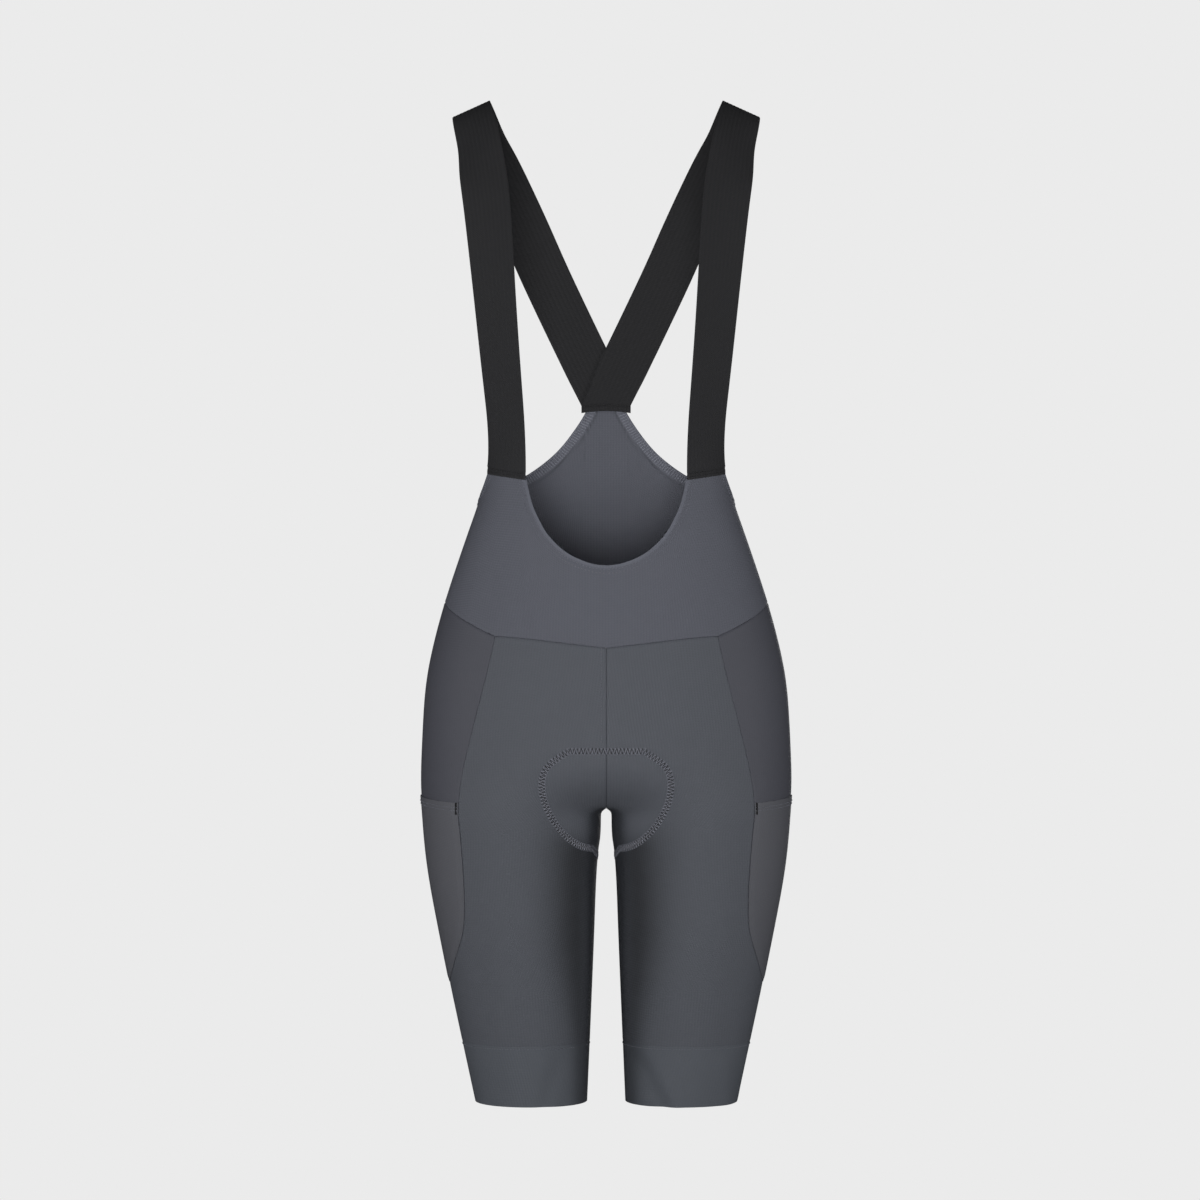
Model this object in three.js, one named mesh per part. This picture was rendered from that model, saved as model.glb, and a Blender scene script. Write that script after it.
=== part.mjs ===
// Cycling bib shorts, filled out as if worn: a front and a back bib panel, two legs cut as front and back
// panels with a side panel and a cargo pocket, a band at each hem, two wide elastic straps that cross at the
// back, and a seat pad inside the crotch.
//
// Every cloth piece is a thin wall on one closed form. The form is worked out from two short tables of
// sections: rings round the torso and rings round one thigh. Millimetres, +X to the wearer's left, -Y to the
// front, +Z up. While the pieces are made, heights are counted from the leg hems. The whole group is then
// lowered so that the origin lies midway between the shoulders, level with the underside of the straps.
import * as THREE from "three";

// Driving sizes, in millimetres.
const SHOULDER_HEIGHT = 920;
const BAND_TOP = 56;
const CLOTH = 1.2;
const POCKET_CLOTH = 1.0;
const STRAP_THICKNESS = 1.6;
const STRAP_WIDTH = 46;
const SEAM_GAP = 0.3;
const LAP = 7;
const PAD_GAP = 2;
const STRAP_GAP = 0.6;

// Torso rings: half width, depth in front of and behind the middle plane, and how square the ring is.
const TORSO = [
  { height: 240, halfWidth: 172.0, front: 100, back: 112, square: 2.3 },
  { height: 300, halfWidth: 172.0, front: 104, back: 118, square: 2.3 },
  { height: 353, halfWidth: 170.2, front: 105, back: 120, square: 2.3 },
  { height: 391, halfWidth: 166.9, front: 104, back: 116, square: 2.3 },
  { height: 428, halfWidth: 159.5, front: 101, back: 107, square: 2.35 },
  { height: 465, halfWidth: 149.3, front: 97, back: 98, square: 2.4 },
  { height: 502, halfWidth: 137.2, front: 93, back: 92, square: 2.5 },
  { height: 539, halfWidth: 124.3, front: 90, back: 90, square: 2.7 },
  { height: 560, halfWidth: 117.6, front: 89, back: 91, square: 2.8 },
  { height: 581, halfWidth: 114.8, front: 88, back: 92, square: 2.9 },
  { height: 620, halfWidth: 116.0, front: 88, back: 95, square: 2.9 },
  { height: 660, halfWidth: 119.0, front: 88, back: 97, square: 2.9 },
];

// Thigh rings: how far the outer and inner side lie from the middle plane, and the depths. Above the crotch
// the inner side passes the middle plane, where the two thighs run into one.
const THIGH = [
  { height: 0, outer: 121.8, inner: 17.7, front: 55, back: 57 },
  { height: 56, outer: 133.9, inner: 15.3, front: 60, back: 63 },
  { height: 112, outer: 145.8, inner: 13.0, front: 67, back: 71 },
  { height: 168, outer: 157.0, inner: 10.8, front: 75, back: 81 },
  { height: 223, outer: 166.4, inner: 8.2, front: 83, back: 91 },
  { height: 255, outer: 169.6, inner: 6.1, front: 89, back: 98 },
  { height: 274, outer: 171.0, inner: 4.8, front: 92, back: 103 },
  { height: 292, outer: 172.1, inner: -4, front: 94, back: 107 },
  { height: 320, outer: 172.1, inner: -25, front: 97, back: 111 },
  { height: 360, outer: 170.0, inner: -55, front: 99, back: 113 },
];
// The thighs meet in a round, small at the crotch and wide higher up, where the pad bridges them. Its width
// grows from the crotch's height, but well in front of the middle plane from lower down.
const THIGH_SQUARE = 2.1;
const CROTCH_ROUND = 16;
const PAD_ROUND_FRONT = 100;
const PAD_ROUND_BACK = 48;
const PAD_ROUND_HEIGHT = 304;
const PAD_ROUND_LOW = 225;
const PAD_ROUND_NEAR = 20;
const PAD_ROUND_FAR = 70;
const CROTCH_HEIGHT = 274;
const THIGHS_END = 266;
const TORSO_BEGINS = 352;

// The seam between leg and side panel: its angle round the thigh, from the outer side towards the front.
const SIDE_SEAM = [
  { height: 152, angle: 46 },
  { height: 160, angle: 49.5 },
  { height: 179, angle: 54.3 },
  { height: 205, angle: 57.3 },
  { height: 262, angle: 58.8 },
  { height: 287, angle: 59.2 },
  { height: 333, angle: 64.5 },
  { height: 383, angle: 73.5 },
  { height: 432, angle: 81 },
];
const SIDE_SEAM_TOP = 432;
const SIDE_SEAM_FOOT = 152;
const POCKET_TOP = 280.3;
const SIDE_TIP = 110;
const WAIST_AT_MIDDLE = 421.6;
const WAIST_SIDE_RISE = 31;

// Edges of the bib: the angle round the torso, from the middle of the front, and the height.
const FRONT_SCOOP = [
  { angle: 43.4, height: 581.5 },
  { angle: 42.4, height: 573.6 },
  { angle: 41.2, height: 564.1 },
  { angle: 39.1, height: 551.3 },
  { angle: 35.8, height: 538.2 },
  { angle: 31.2, height: 524.3 },
  { angle: 23.4, height: 510.3 },
  { angle: 15.3, height: 502.2 },
  { angle: 7.0, height: 497.6 },
  { angle: 0, height: 496.4 },
];
const STRAP_FOOT_INNER = { angle: 42.7, height: 574.1 };
const STRAP_FOOT_OUTER = { angle: 66.2, height: 580.7 };
const FRONT_ARMHOLE = [
  { angle: 90, height: 560 },
  { angle: 79, height: 564 },
  { angle: 70.5, height: 575 },
  { angle: 65.4, height: 587.2 },
];
const BACK_ARMHOLE = [
  { angle: 90, height: 560 },
  { angle: 110, height: 564 },
  { angle: 125, height: 572.5 },
  { angle: 136.6, height: 582.9 },
  { angle: 147.4, height: 597.2 },
  { angle: 157.7, height: 616.2 },
  { angle: 168.0, height: 642.5 },
  { angle: 168.6, height: 650 },
];
const BACK_TOP_MIDDLE = 652;
const BACK_STRAP_CORNER = { angle: 166.2, height: 643.2 };
const BACK_STRAP_MIDDLE = 645.5;

// The middle line of the left strap from the chest over the shoulder to the crossing, the direction from its
// inner to its outer edge, and its share of the full width, which is less where it bends over the shoulder.
const STRAP_PATH = [
  { x: 91.3, y: -67, z: 600, ax: 0.765, ay: 0.64, az: 0.13, width: 1 },
  { x: 91.8, y: -70, z: 622, ax: 0.74, ay: 0.67, az: 0.05, width: 1 },
  { x: 97.2, y: -75, z: 683.6, ax: 0.782, ay: 0.623, az: -0.05, width: 1 },
  { x: 103.4, y: -73, z: 756.6, ax: 0.852, ay: 0.523, az: -0.08, width: 1 },
  { x: 109.4, y: -63, z: 824.2, ax: 0.928, ay: 0.372, az: -0.1, width: 1 },
  { x: 114.4, y: -50, z: 862.1, ax: 0.915, ay: 0.38, az: -0.15, width: 1 },
  { x: 119.6, y: -32, z: 895.0, ax: 0.855, ay: 0.43, az: -0.29, width: 0.96 },
  { x: 125.8, y: 0, z: 922.0, ax: 0.917, ay: 0.1, az: -0.4, width: 0.83 },
  { x: 119.6, y: 34, z: 906.8, ax: 0.76, ay: 0.48, az: -0.43, width: 0.92 },
  { x: 107.6, y: 55, z: 880.8, ax: 0.83, ay: 0.36, az: -0.4, width: 1 },
  { x: 90.0, y: 72, z: 844.4, ax: 0.88, ay: 0.18, az: -0.42, width: 1 },
  { x: 73.0, y: 83, z: 807.5, ax: 0.905, ay: 0.06, az: -0.424, width: 1 },
  { x: 56.2, y: 90, z: 770.0, ax: 0.905, ay: 0.0, az: -0.424, width: 1 },
  { x: 29.1, y: 93.6, z: 713.2, ax: 0.905, ay: 0.0, az: -0.424, width: 1 },
  { x: 1.4, y: 93.6, z: 656.2, ax: 0.905, ay: 0.0, az: -0.424, width: 1 },
];
const FOOT_EASE = 0.1;
const END_EASE = 0.045;
const CROSSING_SHIFT = 1.1;
const CROSSING_BEGINS = 775;
const CROSSING_FULL = 725;

// Seat pad: half width along the cloth at each distance along the crotch line from its front edge.
const PAD = [
  { along: 0, halfWidth: 34, middle: 3 },
  { along: 12, halfWidth: 50.5, middle: 4 },
  { along: 30, halfWidth: 58.5, middle: 5 },
  { along: 50, halfWidth: 56.5, middle: 6 },
  { along: 70, halfWidth: 51, middle: 6.5 },
  { along: 90, halfWidth: 47, middle: 7 },
  { along: 115, halfWidth: 46, middle: 7.5 },
  { along: 145, halfWidth: 50, middle: 8.5 },
  { along: 180, halfWidth: 65, middle: 10 },
  { along: 215, halfWidth: 82, middle: 11 },
  { along: 250, halfWidth: 84, middle: 9 },
  { along: 275, halfWidth: 66, middle: 6 },
  { along: 288, halfWidth: 40, middle: 4 },
];
const PAD_FRONT = 329;
const PAD_EDGE = 2;

// Steps of each grid.
const LEG_COLUMNS = 12;
const SIDE_COLUMNS = 8;
const BIB_ROWS = 10;
const ARMHOLE_COLUMNS = 3;
const BACK_TOP_COLUMNS = 3;
const CROTCH_LINE_ROWS = 11;
const INSEAM_ROWS = 13;
const SEAM_ROWS_ABOVE_POCKET = 9;
const SEAM_ROWS_BESIDE_POCKET = 9;
const TIP_ROWS = SIDE_COLUMNS / 2;
const SEAM_ROWS = SEAM_ROWS_ABOVE_POCKET + SEAM_ROWS_BESIDE_POCKET;
const LEG_ROWS = CROTCH_LINE_ROWS + INSEAM_ROWS;
const STRAP_ROWS = 42;
const STRAP_COLUMNS = 4;
const PAD_ROWS = 22;
const PAD_COLUMNS = 7;
const BAND_ROWS = 2;

const { PI, abs, atan2, cos, hypot, max, min, sign, sin } = Math;
const lerp = THREE.MathUtils.lerp;
const radians = THREE.MathUtils.degToRad;
const smooth = (value, from, to) => THREE.MathUtils.smoothstep(value, from, to);
const steps = (count) => Array.from({ length: count + 1 }, (_, i) => i);

// A natural cubic spline through one column of a table, straight beyond its ends.
function curve(table, over, column) {
  const x = table.map((row) => row[over]);
  const y = table.map((row) => row[column]);
  const last = x.length - 1;
  const bend = new Array(last + 1).fill(0);
  const carry = new Array(last + 1).fill(0);
  for (let i = 1; i < last; i++) {
    const before = x[i] - x[i - 1];
    const after = x[i + 1] - x[i];
    const pivot = 2 * (before + after) - before * carry[i - 1];
    carry[i] = after / pivot;
    const turn = (y[i + 1] - y[i]) / after - (y[i] - y[i - 1]) / before;
    bend[i] = (6 * turn - before * bend[i - 1]) / pivot;
  }
  for (let i = last - 1; i > 0; i--) bend[i] -= carry[i] * bend[i + 1];
  const slope = (i, share) => {
    const step = x[i + 1] - x[i];
    const rise = (y[i + 1] - y[i]) / step;
    return rise + (step * ((3 * share * share - 1) * bend[i + 1] - (3 * (1 - share) ** 2 - 1) * bend[i])) / 6;
  };
  return (at) => {
    if (at <= x[0]) return y[0] + (at - x[0]) * slope(0, 0);
    if (at >= x[last]) return y[last] + (at - x[last]) * slope(last - 1, 1);
    const i = x.findIndex((knot) => knot > at) - 1;
    const step = x[i + 1] - x[i];
    const b = (at - x[i]) / step;
    const a = 1 - b;
    return a * y[i] + b * y[i + 1] + (((a ** 3 - a) * bend[i] + (b ** 3 - b) * bend[i + 1]) * step * step) / 6;
  };
}

const columns = (table, over, names) =>
  Object.fromEntries(names.map((name) => [name, curve(table, over, name)]));
const torso = columns(TORSO, "height", ["halfWidth", "front", "back", "square"]);
const thigh = columns(THIGH, "height", ["outer", "inner", "front", "back"]);
const sideSeamAngle = curve(SIDE_SEAM, "height", "angle");

// How far a point lies outside a ring, along the line from the ring's middle.
function outsideRing(x, y, halfWidth, depth, square) {
  const share = (abs(x / halfWidth) ** square + abs(y / depth) ** square) ** (1 / square);
  return share < 1e-9 ? -min(halfWidth, depth) : hypot(x, y) * (1 - 1 / share);
}

function outsideThigh(x, y, z) {
  const outer = thigh.outer(z);
  const inner = thigh.inner(z);
  const depth = y < 0 ? thigh.front(z) : thigh.back(z);
  return outsideRing(x - (outer + inner) / 2, y, (outer - inner) / 2, depth, THIGH_SQUARE);
}

// The form: the two thighs run together with a small round at the crotch, and turn into the torso above it.
function outsideForm(x, y, z) {
  const part = smooth(z, THIGHS_END, TORSO_BEGINS);
  let value = 0;
  if (part < 1) {
    const left = outsideThigh(x, y, z);
    const right = outsideThigh(-x, y, z);
    const wide = y < 0 ? PAD_ROUND_FRONT : PAD_ROUND_BACK;
    const grown = smooth(z, CROTCH_HEIGHT, PAD_ROUND_HEIGHT);
    const grownInFront = smooth(z, PAD_ROUND_LOW, PAD_ROUND_HEIGHT);
    const share = lerp(grown, grownInFront, smooth(-y, PAD_ROUND_NEAR, PAD_ROUND_FAR));
    const round = lerp(CROTCH_ROUND, wide, share);
    const near = max(round - abs(left - right), 0) / round;
    value += (1 - part) * (min(left, right) - (near * near * round) / 4);
  }
  if (part > 0) {
    const depth = y < 0 ? torso.front(z) : torso.back(z);
    value += part * outsideRing(x, y, torso.halfWidth(z), depth, torso.square(z));
  }
  return value;
}

// The point where a line from inside leaves the form, but no further than the middle plane.
function leave(from, direction) {
  let low = 0;
  let high = 320;
  if (from.x > 0 && direction.x < -1e-9) high = min(high, from.x / -direction.x);
  const at = new THREE.Vector3();
  for (let i = 0; i < 40; i++) {
    const middle = (low + high) / 2;
    at.copy(from).addScaledVector(direction, middle);
    if (outsideForm(at.x, at.y, at.z) < 0) low = middle;
    else high = middle;
  }
  return at;
}

function outward(p) {
  const h = 1.5;
  const slope = (dx, dy, dz) =>
    outsideForm(p.x + dx, p.y + dy, p.z + dz) - outsideForm(p.x - dx, p.y - dy, p.z - dz);
  return new THREE.Vector3(slope(h, 0, 0), slope(0, h, 0), slope(0, 0, h)).normalize();
}

// The nearest point of the form, by steps down its slope.
function settle(p) {
  const at = p.clone();
  for (let i = 0; i < 6; i++) at.addScaledVector(outward(at), -outsideForm(at.x, at.y, at.z));
  return at;
}

const moved = (p, distance) => p.clone().addScaledVector(outward(p), distance);

// The middle of the left thigh, held straight above the crotch.
function thighMiddle(z) {
  const height = min(z, CROTCH_HEIGHT);
  return (thigh.outer(height) + thigh.inner(height)) / 2;
}

// A point of the left leg or hip: the angle runs from the outer side (0) over the front (90) to the inner.
function onThigh(angle, z) {
  const turn = radians(angle);
  return leave(new THREE.Vector3(thighMiddle(z), 0, z), new THREE.Vector3(cos(turn), -sin(turn), 0));
}

// A point of the bib: the angle runs from the middle of the front (0) over the left side (90) to the back.
function onTorso(angle, z) {
  const turn = radians(angle);
  return leave(new THREE.Vector3(0, 0, z), new THREE.Vector3(sin(turn), -cos(turn), 0));
}

const thighAngle = (p) => THREE.MathUtils.radToDeg(atan2(-p.y, p.x - thighMiddle(p.z)));
const torsoAngle = (p) => THREE.MathUtils.radToDeg(atan2(p.x, -p.y));

// Points evenly spaced along a line of points.
function spaced(line, count) {
  const run = [0];
  for (let i = 1; i < line.length; i++) run.push(run[i - 1] + line[i].distanceTo(line[i - 1]));
  const total = run[run.length - 1];
  return steps(count).map((k) => {
    const want = (total * k) / count;
    const i = min(max(run.findIndex((r) => r >= want), 1), line.length - 1);
    return line[i - 1].clone().lerp(line[i], (want - run[i - 1]) / (run[i] - run[i - 1]));
  });
}

// The line of the form in the middle plane, from the waist seam down to the crotch.
function crotchLine(side) {
  const eye = new THREE.Vector3(0, 0, 340);
  const start = atan2(WAIST_AT_MIDDLE - eye.z, abs(leave(eye.clone().setZ(WAIST_AT_MIDDLE), new THREE.Vector3(0, side, 0)).y));
  return steps(120).map((i) => {
    const turn = lerp(start, -PI / 2, i / 120);
    return leave(eye, new THREE.Vector3(0, side * cos(turn), sin(turn)));
  });
}

// The lower edge of the side panel, a round foot from seam to seam.
const tipHeight = (angle) => SIDE_TIP + (SIDE_SEAM_FOOT - SIDE_TIP) * (abs(angle) / sideSeamAngle(SIDE_SEAM_FOOT)) ** 2;

function seamHeight(row) {
  if (row <= SEAM_ROWS_ABOVE_POCKET) return lerp(SIDE_SEAM_TOP, POCKET_TOP, row / SEAM_ROWS_ABOVE_POCKET);
  return lerp(POCKET_TOP, SIDE_SEAM_FOOT, (row - SEAM_ROWS_ABOVE_POCKET) / SEAM_ROWS_BESIDE_POCKET);
}

// Where each row of a leg panel ends at its outer edge: down the side seam, along the side panel's foot, and
// down the outer side to the band.
function outerEnd(row, side) {
  if (row <= SEAM_ROWS) {
    const height = seamHeight(row);
    return { angle: side * sideSeamAngle(height), height };
  }
  const share = (row - SEAM_ROWS) / TIP_ROWS;
  if (share <= 1) {
    const angle = side * sideSeamAngle(SIDE_SEAM_FOOT) * (1 - share);
    return { angle, height: tipHeight(angle) };
  }
  return { angle: 0, height: lerp(SIDE_TIP, BAND_TOP, (share - 1) / ((LEG_ROWS - SEAM_ROWS) / TIP_ROWS - 1)) };
}

// One leg panel as rows of points, from the middle line and inseam to the outer edge. Side 1 is the front.
function legGrid(side) {
  const line = spaced(crotchLine(-side), CROTCH_LINE_ROWS);
  const crotch = line[CROTCH_LINE_ROWS];
  return steps(LEG_ROWS).map((row) => {
    const down = max(row - CROTCH_LINE_ROWS, 0) / INSEAM_ROWS;
    const inner = row <= CROTCH_LINE_ROWS ? line[row] : onThigh(180, lerp(crotch.z, BAND_TOP, down ** 1.5));
    const from = row < CROTCH_LINE_ROWS ? abs(thighAngle(inner)) : 180;
    const to = outerEnd(row, side);
    return steps(LEG_COLUMNS).map((column) => {
      if (column === 0) return inner.clone();
      const share = column / LEG_COLUMNS;
      const level = lerp(1 - (1 - share) ** 1.6, smooth(share, 0, 1), min(row / 4, 1));
      return onThigh(lerp(side * from, to.angle, share), lerp(inner.z, to.height, level));
    });
  });
}

// The side panel, from its front seam round the hip to its back seam, with a raised top and a round foot.
function sideGrid() {
  return steps(SEAM_ROWS).map((row) => {
    const height = seamHeight(row);
    const reach = sideSeamAngle(height);
    const share = row / SEAM_ROWS;
    return steps(SIDE_COLUMNS).map((column) => {
      const angle = reach * (1 - (2 * column) / SIDE_COLUMNS);
      const inside = 1 - abs(angle) / reach;
      const rise = (1 - share) ** 1.5 * WAIST_SIDE_RISE * sin((inside * PI) / 2);
      const drop = share ** 2.5 * (SIDE_SEAM_FOOT - tipHeight((angle / reach) * sideSeamAngle(SIDE_SEAM_FOOT)));
      return onThigh(angle, height + rise - drop);
    });
  });
}

// Marks along an edge of the bib, evenly spaced as they lie on the form.
function edgePoints(marks, count) {
  const fine = [];
  for (let i = 1; i < marks.length; i++)
    for (let k = 0; k < 8; k++)
      fine.push(onTorso(lerp(marks[i - 1].angle, marks[i].angle, k / 8), lerp(marks[i - 1].height, marks[i].height, k / 8)));
  const last = marks[marks.length - 1];
  fine.push(onTorso(last.angle, last.height));
  return spaced(fine, count);
}

const mirrored = (p) => new THREE.Vector3(-p.x, p.y, p.z);

// A whole bib panel from the right side to the left: straight lines of angle and height from the waist seam
// up to the edge, put on the form.
function bibGrid(low, high) {
  const half = low.map((foot, k) =>
    steps(BIB_ROWS).map((row) => {
      const share = row / BIB_ROWS;
      const angle = lerp(torsoAngle(foot), torsoAngle(high[k]), share);
      return onTorso(angle, lerp(foot.z, high[k].z, share));
    }),
  );
  const whole = [...half.map((line) => line.map(mirrored)), ...half.slice(0, -1).reverse()];
  return steps(BIB_ROWS).map((row) => whole.map((line) => line[row]));
}

// Pulls the named edges of a grid in by half a seam.
function trimmed(grid, edges, amount = SEAM_GAP / 2) {
  const out = grid.map((row) => row.map((p) => p.clone()));
  const lastRow = grid.length - 1;
  const lastColumn = grid[0].length - 1;
  const pull = (i, j, k, l) => {
    const way = grid[k][l].clone().sub(grid[i][j]).normalize();
    out[i][j].addScaledVector(way, amount);
  };
  grid.forEach((row, i) => {
    if (edges.includes("first column")) pull(i, 0, i, 1);
    if (edges.includes("last column")) pull(i, lastColumn, i, lastColumn - 1);
  });
  grid[0].forEach((_, j) => {
    if (edges.includes("first row")) pull(0, j, 1, j);
    if (edges.includes("last row")) pull(lastRow, j, lastRow - 1, j);
  });
  return out;
}

// A closed wall between two grids of points. A ring joins its last column to its first.
function wall(outer, inner, ring = false) {
  const rows = outer.length;
  const across = outer[0].length;
  const points = [...outer.flat(), ...inner.flat()];
  const index = [];
  const at = (layer, i, j) => layer * rows * across + i * across + (j % across);
  const quad = (a, b, c, d) => index.push(a, b, c, a, c, d);
  const spans = ring ? across : across - 1;
  for (let i = 0; i + 1 < rows; i++)
    for (let j = 0; j < spans; j++) {
      quad(at(0, i, j), at(0, i, j + 1), at(0, i + 1, j + 1), at(0, i + 1, j));
      quad(at(1, i, j), at(1, i + 1, j), at(1, i + 1, j + 1), at(1, i, j + 1));
    }
  for (let j = 0; j < spans; j++) {
    quad(at(0, 0, j), at(1, 0, j), at(1, 0, j + 1), at(0, 0, j + 1));
    quad(at(0, rows - 1, j), at(0, rows - 1, j + 1), at(1, rows - 1, j + 1), at(1, rows - 1, j));
  }
  if (!ring)
    for (let i = 0; i + 1 < rows; i++) {
      quad(at(0, i, 0), at(0, i + 1, 0), at(1, i + 1, 0), at(1, i, 0));
      quad(at(0, i, across - 1), at(1, i, across - 1), at(1, i + 1, across - 1), at(0, i + 1, across - 1));
    }
  let volume = 0;
  for (let t = 0; t < index.length; t += 3)
    volume += points[index[t]].dot(points[index[t + 1]].clone().cross(points[index[t + 2]]));
  if (volume < 0) index.reverse();
  const geometry = new THREE.BufferGeometry().setFromPoints(points).setIndex(index);
  geometry.computeVertexNormals();
  return geometry;
}

// A wall whose outer face lies a distance outside the form.
function clothWall(grid, outside, thickness, ring = false) {
  const outer = grid.map((row) => row.map((p) => moved(p, outside)));
  const inner = grid.map((row) => row.map((p) => moved(p, outside - thickness)));
  return wall(outer, inner, ring);
}

const flipped = (grid) => grid.map((row) => row.map(mirrored));

function finish(color, roughness) {
  return new THREE.MeshStandardMaterial({ color, roughness, metalness: 0 });
}

const knit = finish(0x52555c, 0.72);
const sideKnit = finish(0x474a51, 0.66);
const bandKnit = finish(0x4c4e53, 0.75);
const elastic = finish(0x2a2b2a, 0.85);
const foam = finish(0x303238, 0.9);
const shorts = new THREE.Group();
shorts.position.z = -SHOULDER_HEIGHT;

function add(name, geometry, material) {
  const mesh = new THREE.Mesh(geometry, material);
  mesh.name = name;
  shorts.add(mesh);
}

// Legs, side panels, pockets and hem bands.
const frontLeg = legGrid(1);
const backLeg = legGrid(-1);
const sidePanel = sideGrid();
const allEdges = ["first row", "last row", "first column", "last column"];
const pocketRows = sidePanel.slice(SEAM_ROWS_ABOVE_POCKET);
const pocket = trimmed(pocketRows, ["last row", "first column", "last column"], 1);
const hemBand = steps(BAND_ROWS).map((row) =>
  steps(2 * LEG_COLUMNS - 1).map((column) => onThigh(180 - (column * 180) / LEG_COLUMNS, lerp(BAND_TOP, 0, row / BAND_ROWS))),
);
for (const [side, turn] of [["left", (grid) => grid], ["right", flipped]]) {
  const panel = (name, grid, outside, thickness, material, ring) => {
    const outer = turn(grid.map((row) => row.map((p) => moved(p, outside))));
    const inner = turn(grid.map((row) => row.map((p) => moved(p, outside - thickness))));
    add(name + "_" + side, wall(outer, inner, ring), material);
  };
  panel("front_leg", trimmed(frontLeg, allEdges), 0, CLOTH, knit);
  panel("back_leg", trimmed(backLeg, allEdges), 0, CLOTH, knit);
  panel("side_panel", trimmed(sidePanel, allEdges), 0, CLOTH, sideKnit);
  panel("pocket", pocket, SEAM_GAP + POCKET_CLOTH, POCKET_CLOTH, sideKnit);
  panel("leg_band", trimmed(hemBand, ["first row"]), 0, CLOTH, bandKnit, true);
}

// Bib panels. The points of their lower edge are those of the panels below.
const sideTop = sidePanel[0];
const frontFoot = [...sideTop.slice(0, SIDE_COLUMNS / 2 + 1).reverse(), ...frontLeg[0].slice(0, -1).reverse()];
const backFoot = [...sideTop.slice(SIDE_COLUMNS / 2), ...backLeg[0].slice(0, -1).reverse()];
const strapFoot = [FRONT_ARMHOLE[FRONT_ARMHOLE.length - 1], FRONT_SCOOP[0]];
const frontEdge = [
  ...edgePoints(FRONT_ARMHOLE, ARMHOLE_COLUMNS),
  ...edgePoints(strapFoot, STRAP_COLUMNS).slice(1),
  ...edgePoints(FRONT_SCOOP, LEG_COLUMNS + SIDE_COLUMNS / 2 - ARMHOLE_COLUMNS - STRAP_COLUMNS).slice(1),
];
const backTop = [BACK_ARMHOLE[BACK_ARMHOLE.length - 1], { angle: 180, height: BACK_TOP_MIDDLE }];
const backEdge = [
  ...edgePoints(BACK_ARMHOLE, LEG_COLUMNS + SIDE_COLUMNS / 2 - BACK_TOP_COLUMNS),
  ...edgePoints(backTop, BACK_TOP_COLUMNS).slice(1),
];
add("front_bib", clothWall(trimmed(bibGrid(frontFoot, frontEdge), ["first row", "first column", "last column"]), 0, CLOTH), knit);
add("back_bib", clothWall(trimmed(bibGrid(backFoot, backEdge), ["first row", "first column", "last column"]), 0, CLOTH), knit);

// Straps. The foot of each lies on the front panel and its end inside the back panel. Between them it
// follows its own path, and eases into both.
const path = columns(
  STRAP_PATH.map((row, i) => ({ ...row, at: i / (STRAP_PATH.length - 1) })),
  "at",
  ["x", "y", "z", "ax", "ay", "az", "width"],
);

function pathPoint(at, across) {
  const middle = (s) => new THREE.Vector3(path.x(s), path.y(s), path.z(s));
  const along = middle(at + 0.005).sub(middle(at - 0.005)).normalize();
  const way = new THREE.Vector3(path.ax(at), path.ay(at), path.az(at));
  way.addScaledVector(along, -way.dot(along)).normalize();
  const face = way.clone().cross(along).normalize();
  const point = middle(at).addScaledVector(way, (across * STRAP_WIDTH * path.width(at)) / 2);
  return { point, face };
}

function strapGrids(inside) {
  const shift = inside ? -CROSSING_SHIFT : CROSSING_SHIFT;
  const endDepth = -(CLOTH + SEAM_GAP) - (inside ? 2 * CROSSING_SHIFT : 0);
  const lift = STRAP_GAP + STRAP_THICKNESS;
  const faces = (p, outside) => ({ outer: moved(p, outside), inner: moved(p, outside - STRAP_THICKNESS) });
  const footRow = (rise) => {
    const marks = [STRAP_FOOT_INNER, STRAP_FOOT_OUTER].map(({ angle, height }) => ({ angle, height: height + rise }));
    return edgePoints(marks, STRAP_COLUMNS).map((p) => faces(p, lift));
  };
  // Across the back the strap's outer edge lies on the wearer's left, past the middle to the right.
  const endRow = (rise) =>
    steps(STRAP_COLUMNS).map((k) => {
      const share = (2 * k) / STRAP_COLUMNS - 1;
      const angle = 180 - share * (180 - BACK_STRAP_CORNER.angle);
      const height = lerp(BACK_STRAP_MIDDLE, BACK_STRAP_CORNER.height, share * share) + rise;
      return faces(onTorso(angle, height), endDepth);
    });
  const foot = [footRow(0), footRow(LAP)];
  const end = [endRow(LAP), endRow(0)];
  const free = steps(STRAP_ROWS).map((row) => {
    const at = row / STRAP_ROWS;
    const aside = shift * smooth(-path.z(at), -CROSSING_BEGINS, -CROSSING_FULL) * (path.y(at) > 0 ? 1 : 0);
    return steps(STRAP_COLUMNS).map((k) => {
      const across = (2 * k) / STRAP_COLUMNS - 1;
      const { point, face } = pathPoint(at, across);
      point.y += aside;
      return { outer: point, inner: point.clone().addScaledVector(face, -STRAP_THICKNESS) };
    });
  });
  const eased = free.map((row, i) => {
    const nearFoot = 1 - smooth(i / STRAP_ROWS, 0, FOOT_EASE);
    const nearEnd = smooth(i / STRAP_ROWS, 1 - END_EASE, 1);
    return row.map((p, k) => ({
      outer: ease(p.outer, free[0][k].outer, foot[1][k].outer, nearFoot, free[STRAP_ROWS][k].outer, end[0][k].outer, nearEnd),
      inner: ease(p.inner, free[0][k].inner, foot[1][k].inner, nearFoot, free[STRAP_ROWS][k].inner, end[0][k].inner, nearEnd),
    }));
  });
  const rows = [foot[0], ...eased, end[1]];
  return { outer: rows.map((row) => row.map((p) => p.outer)), inner: rows.map((row) => row.map((p) => p.inner)) };
}

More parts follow.
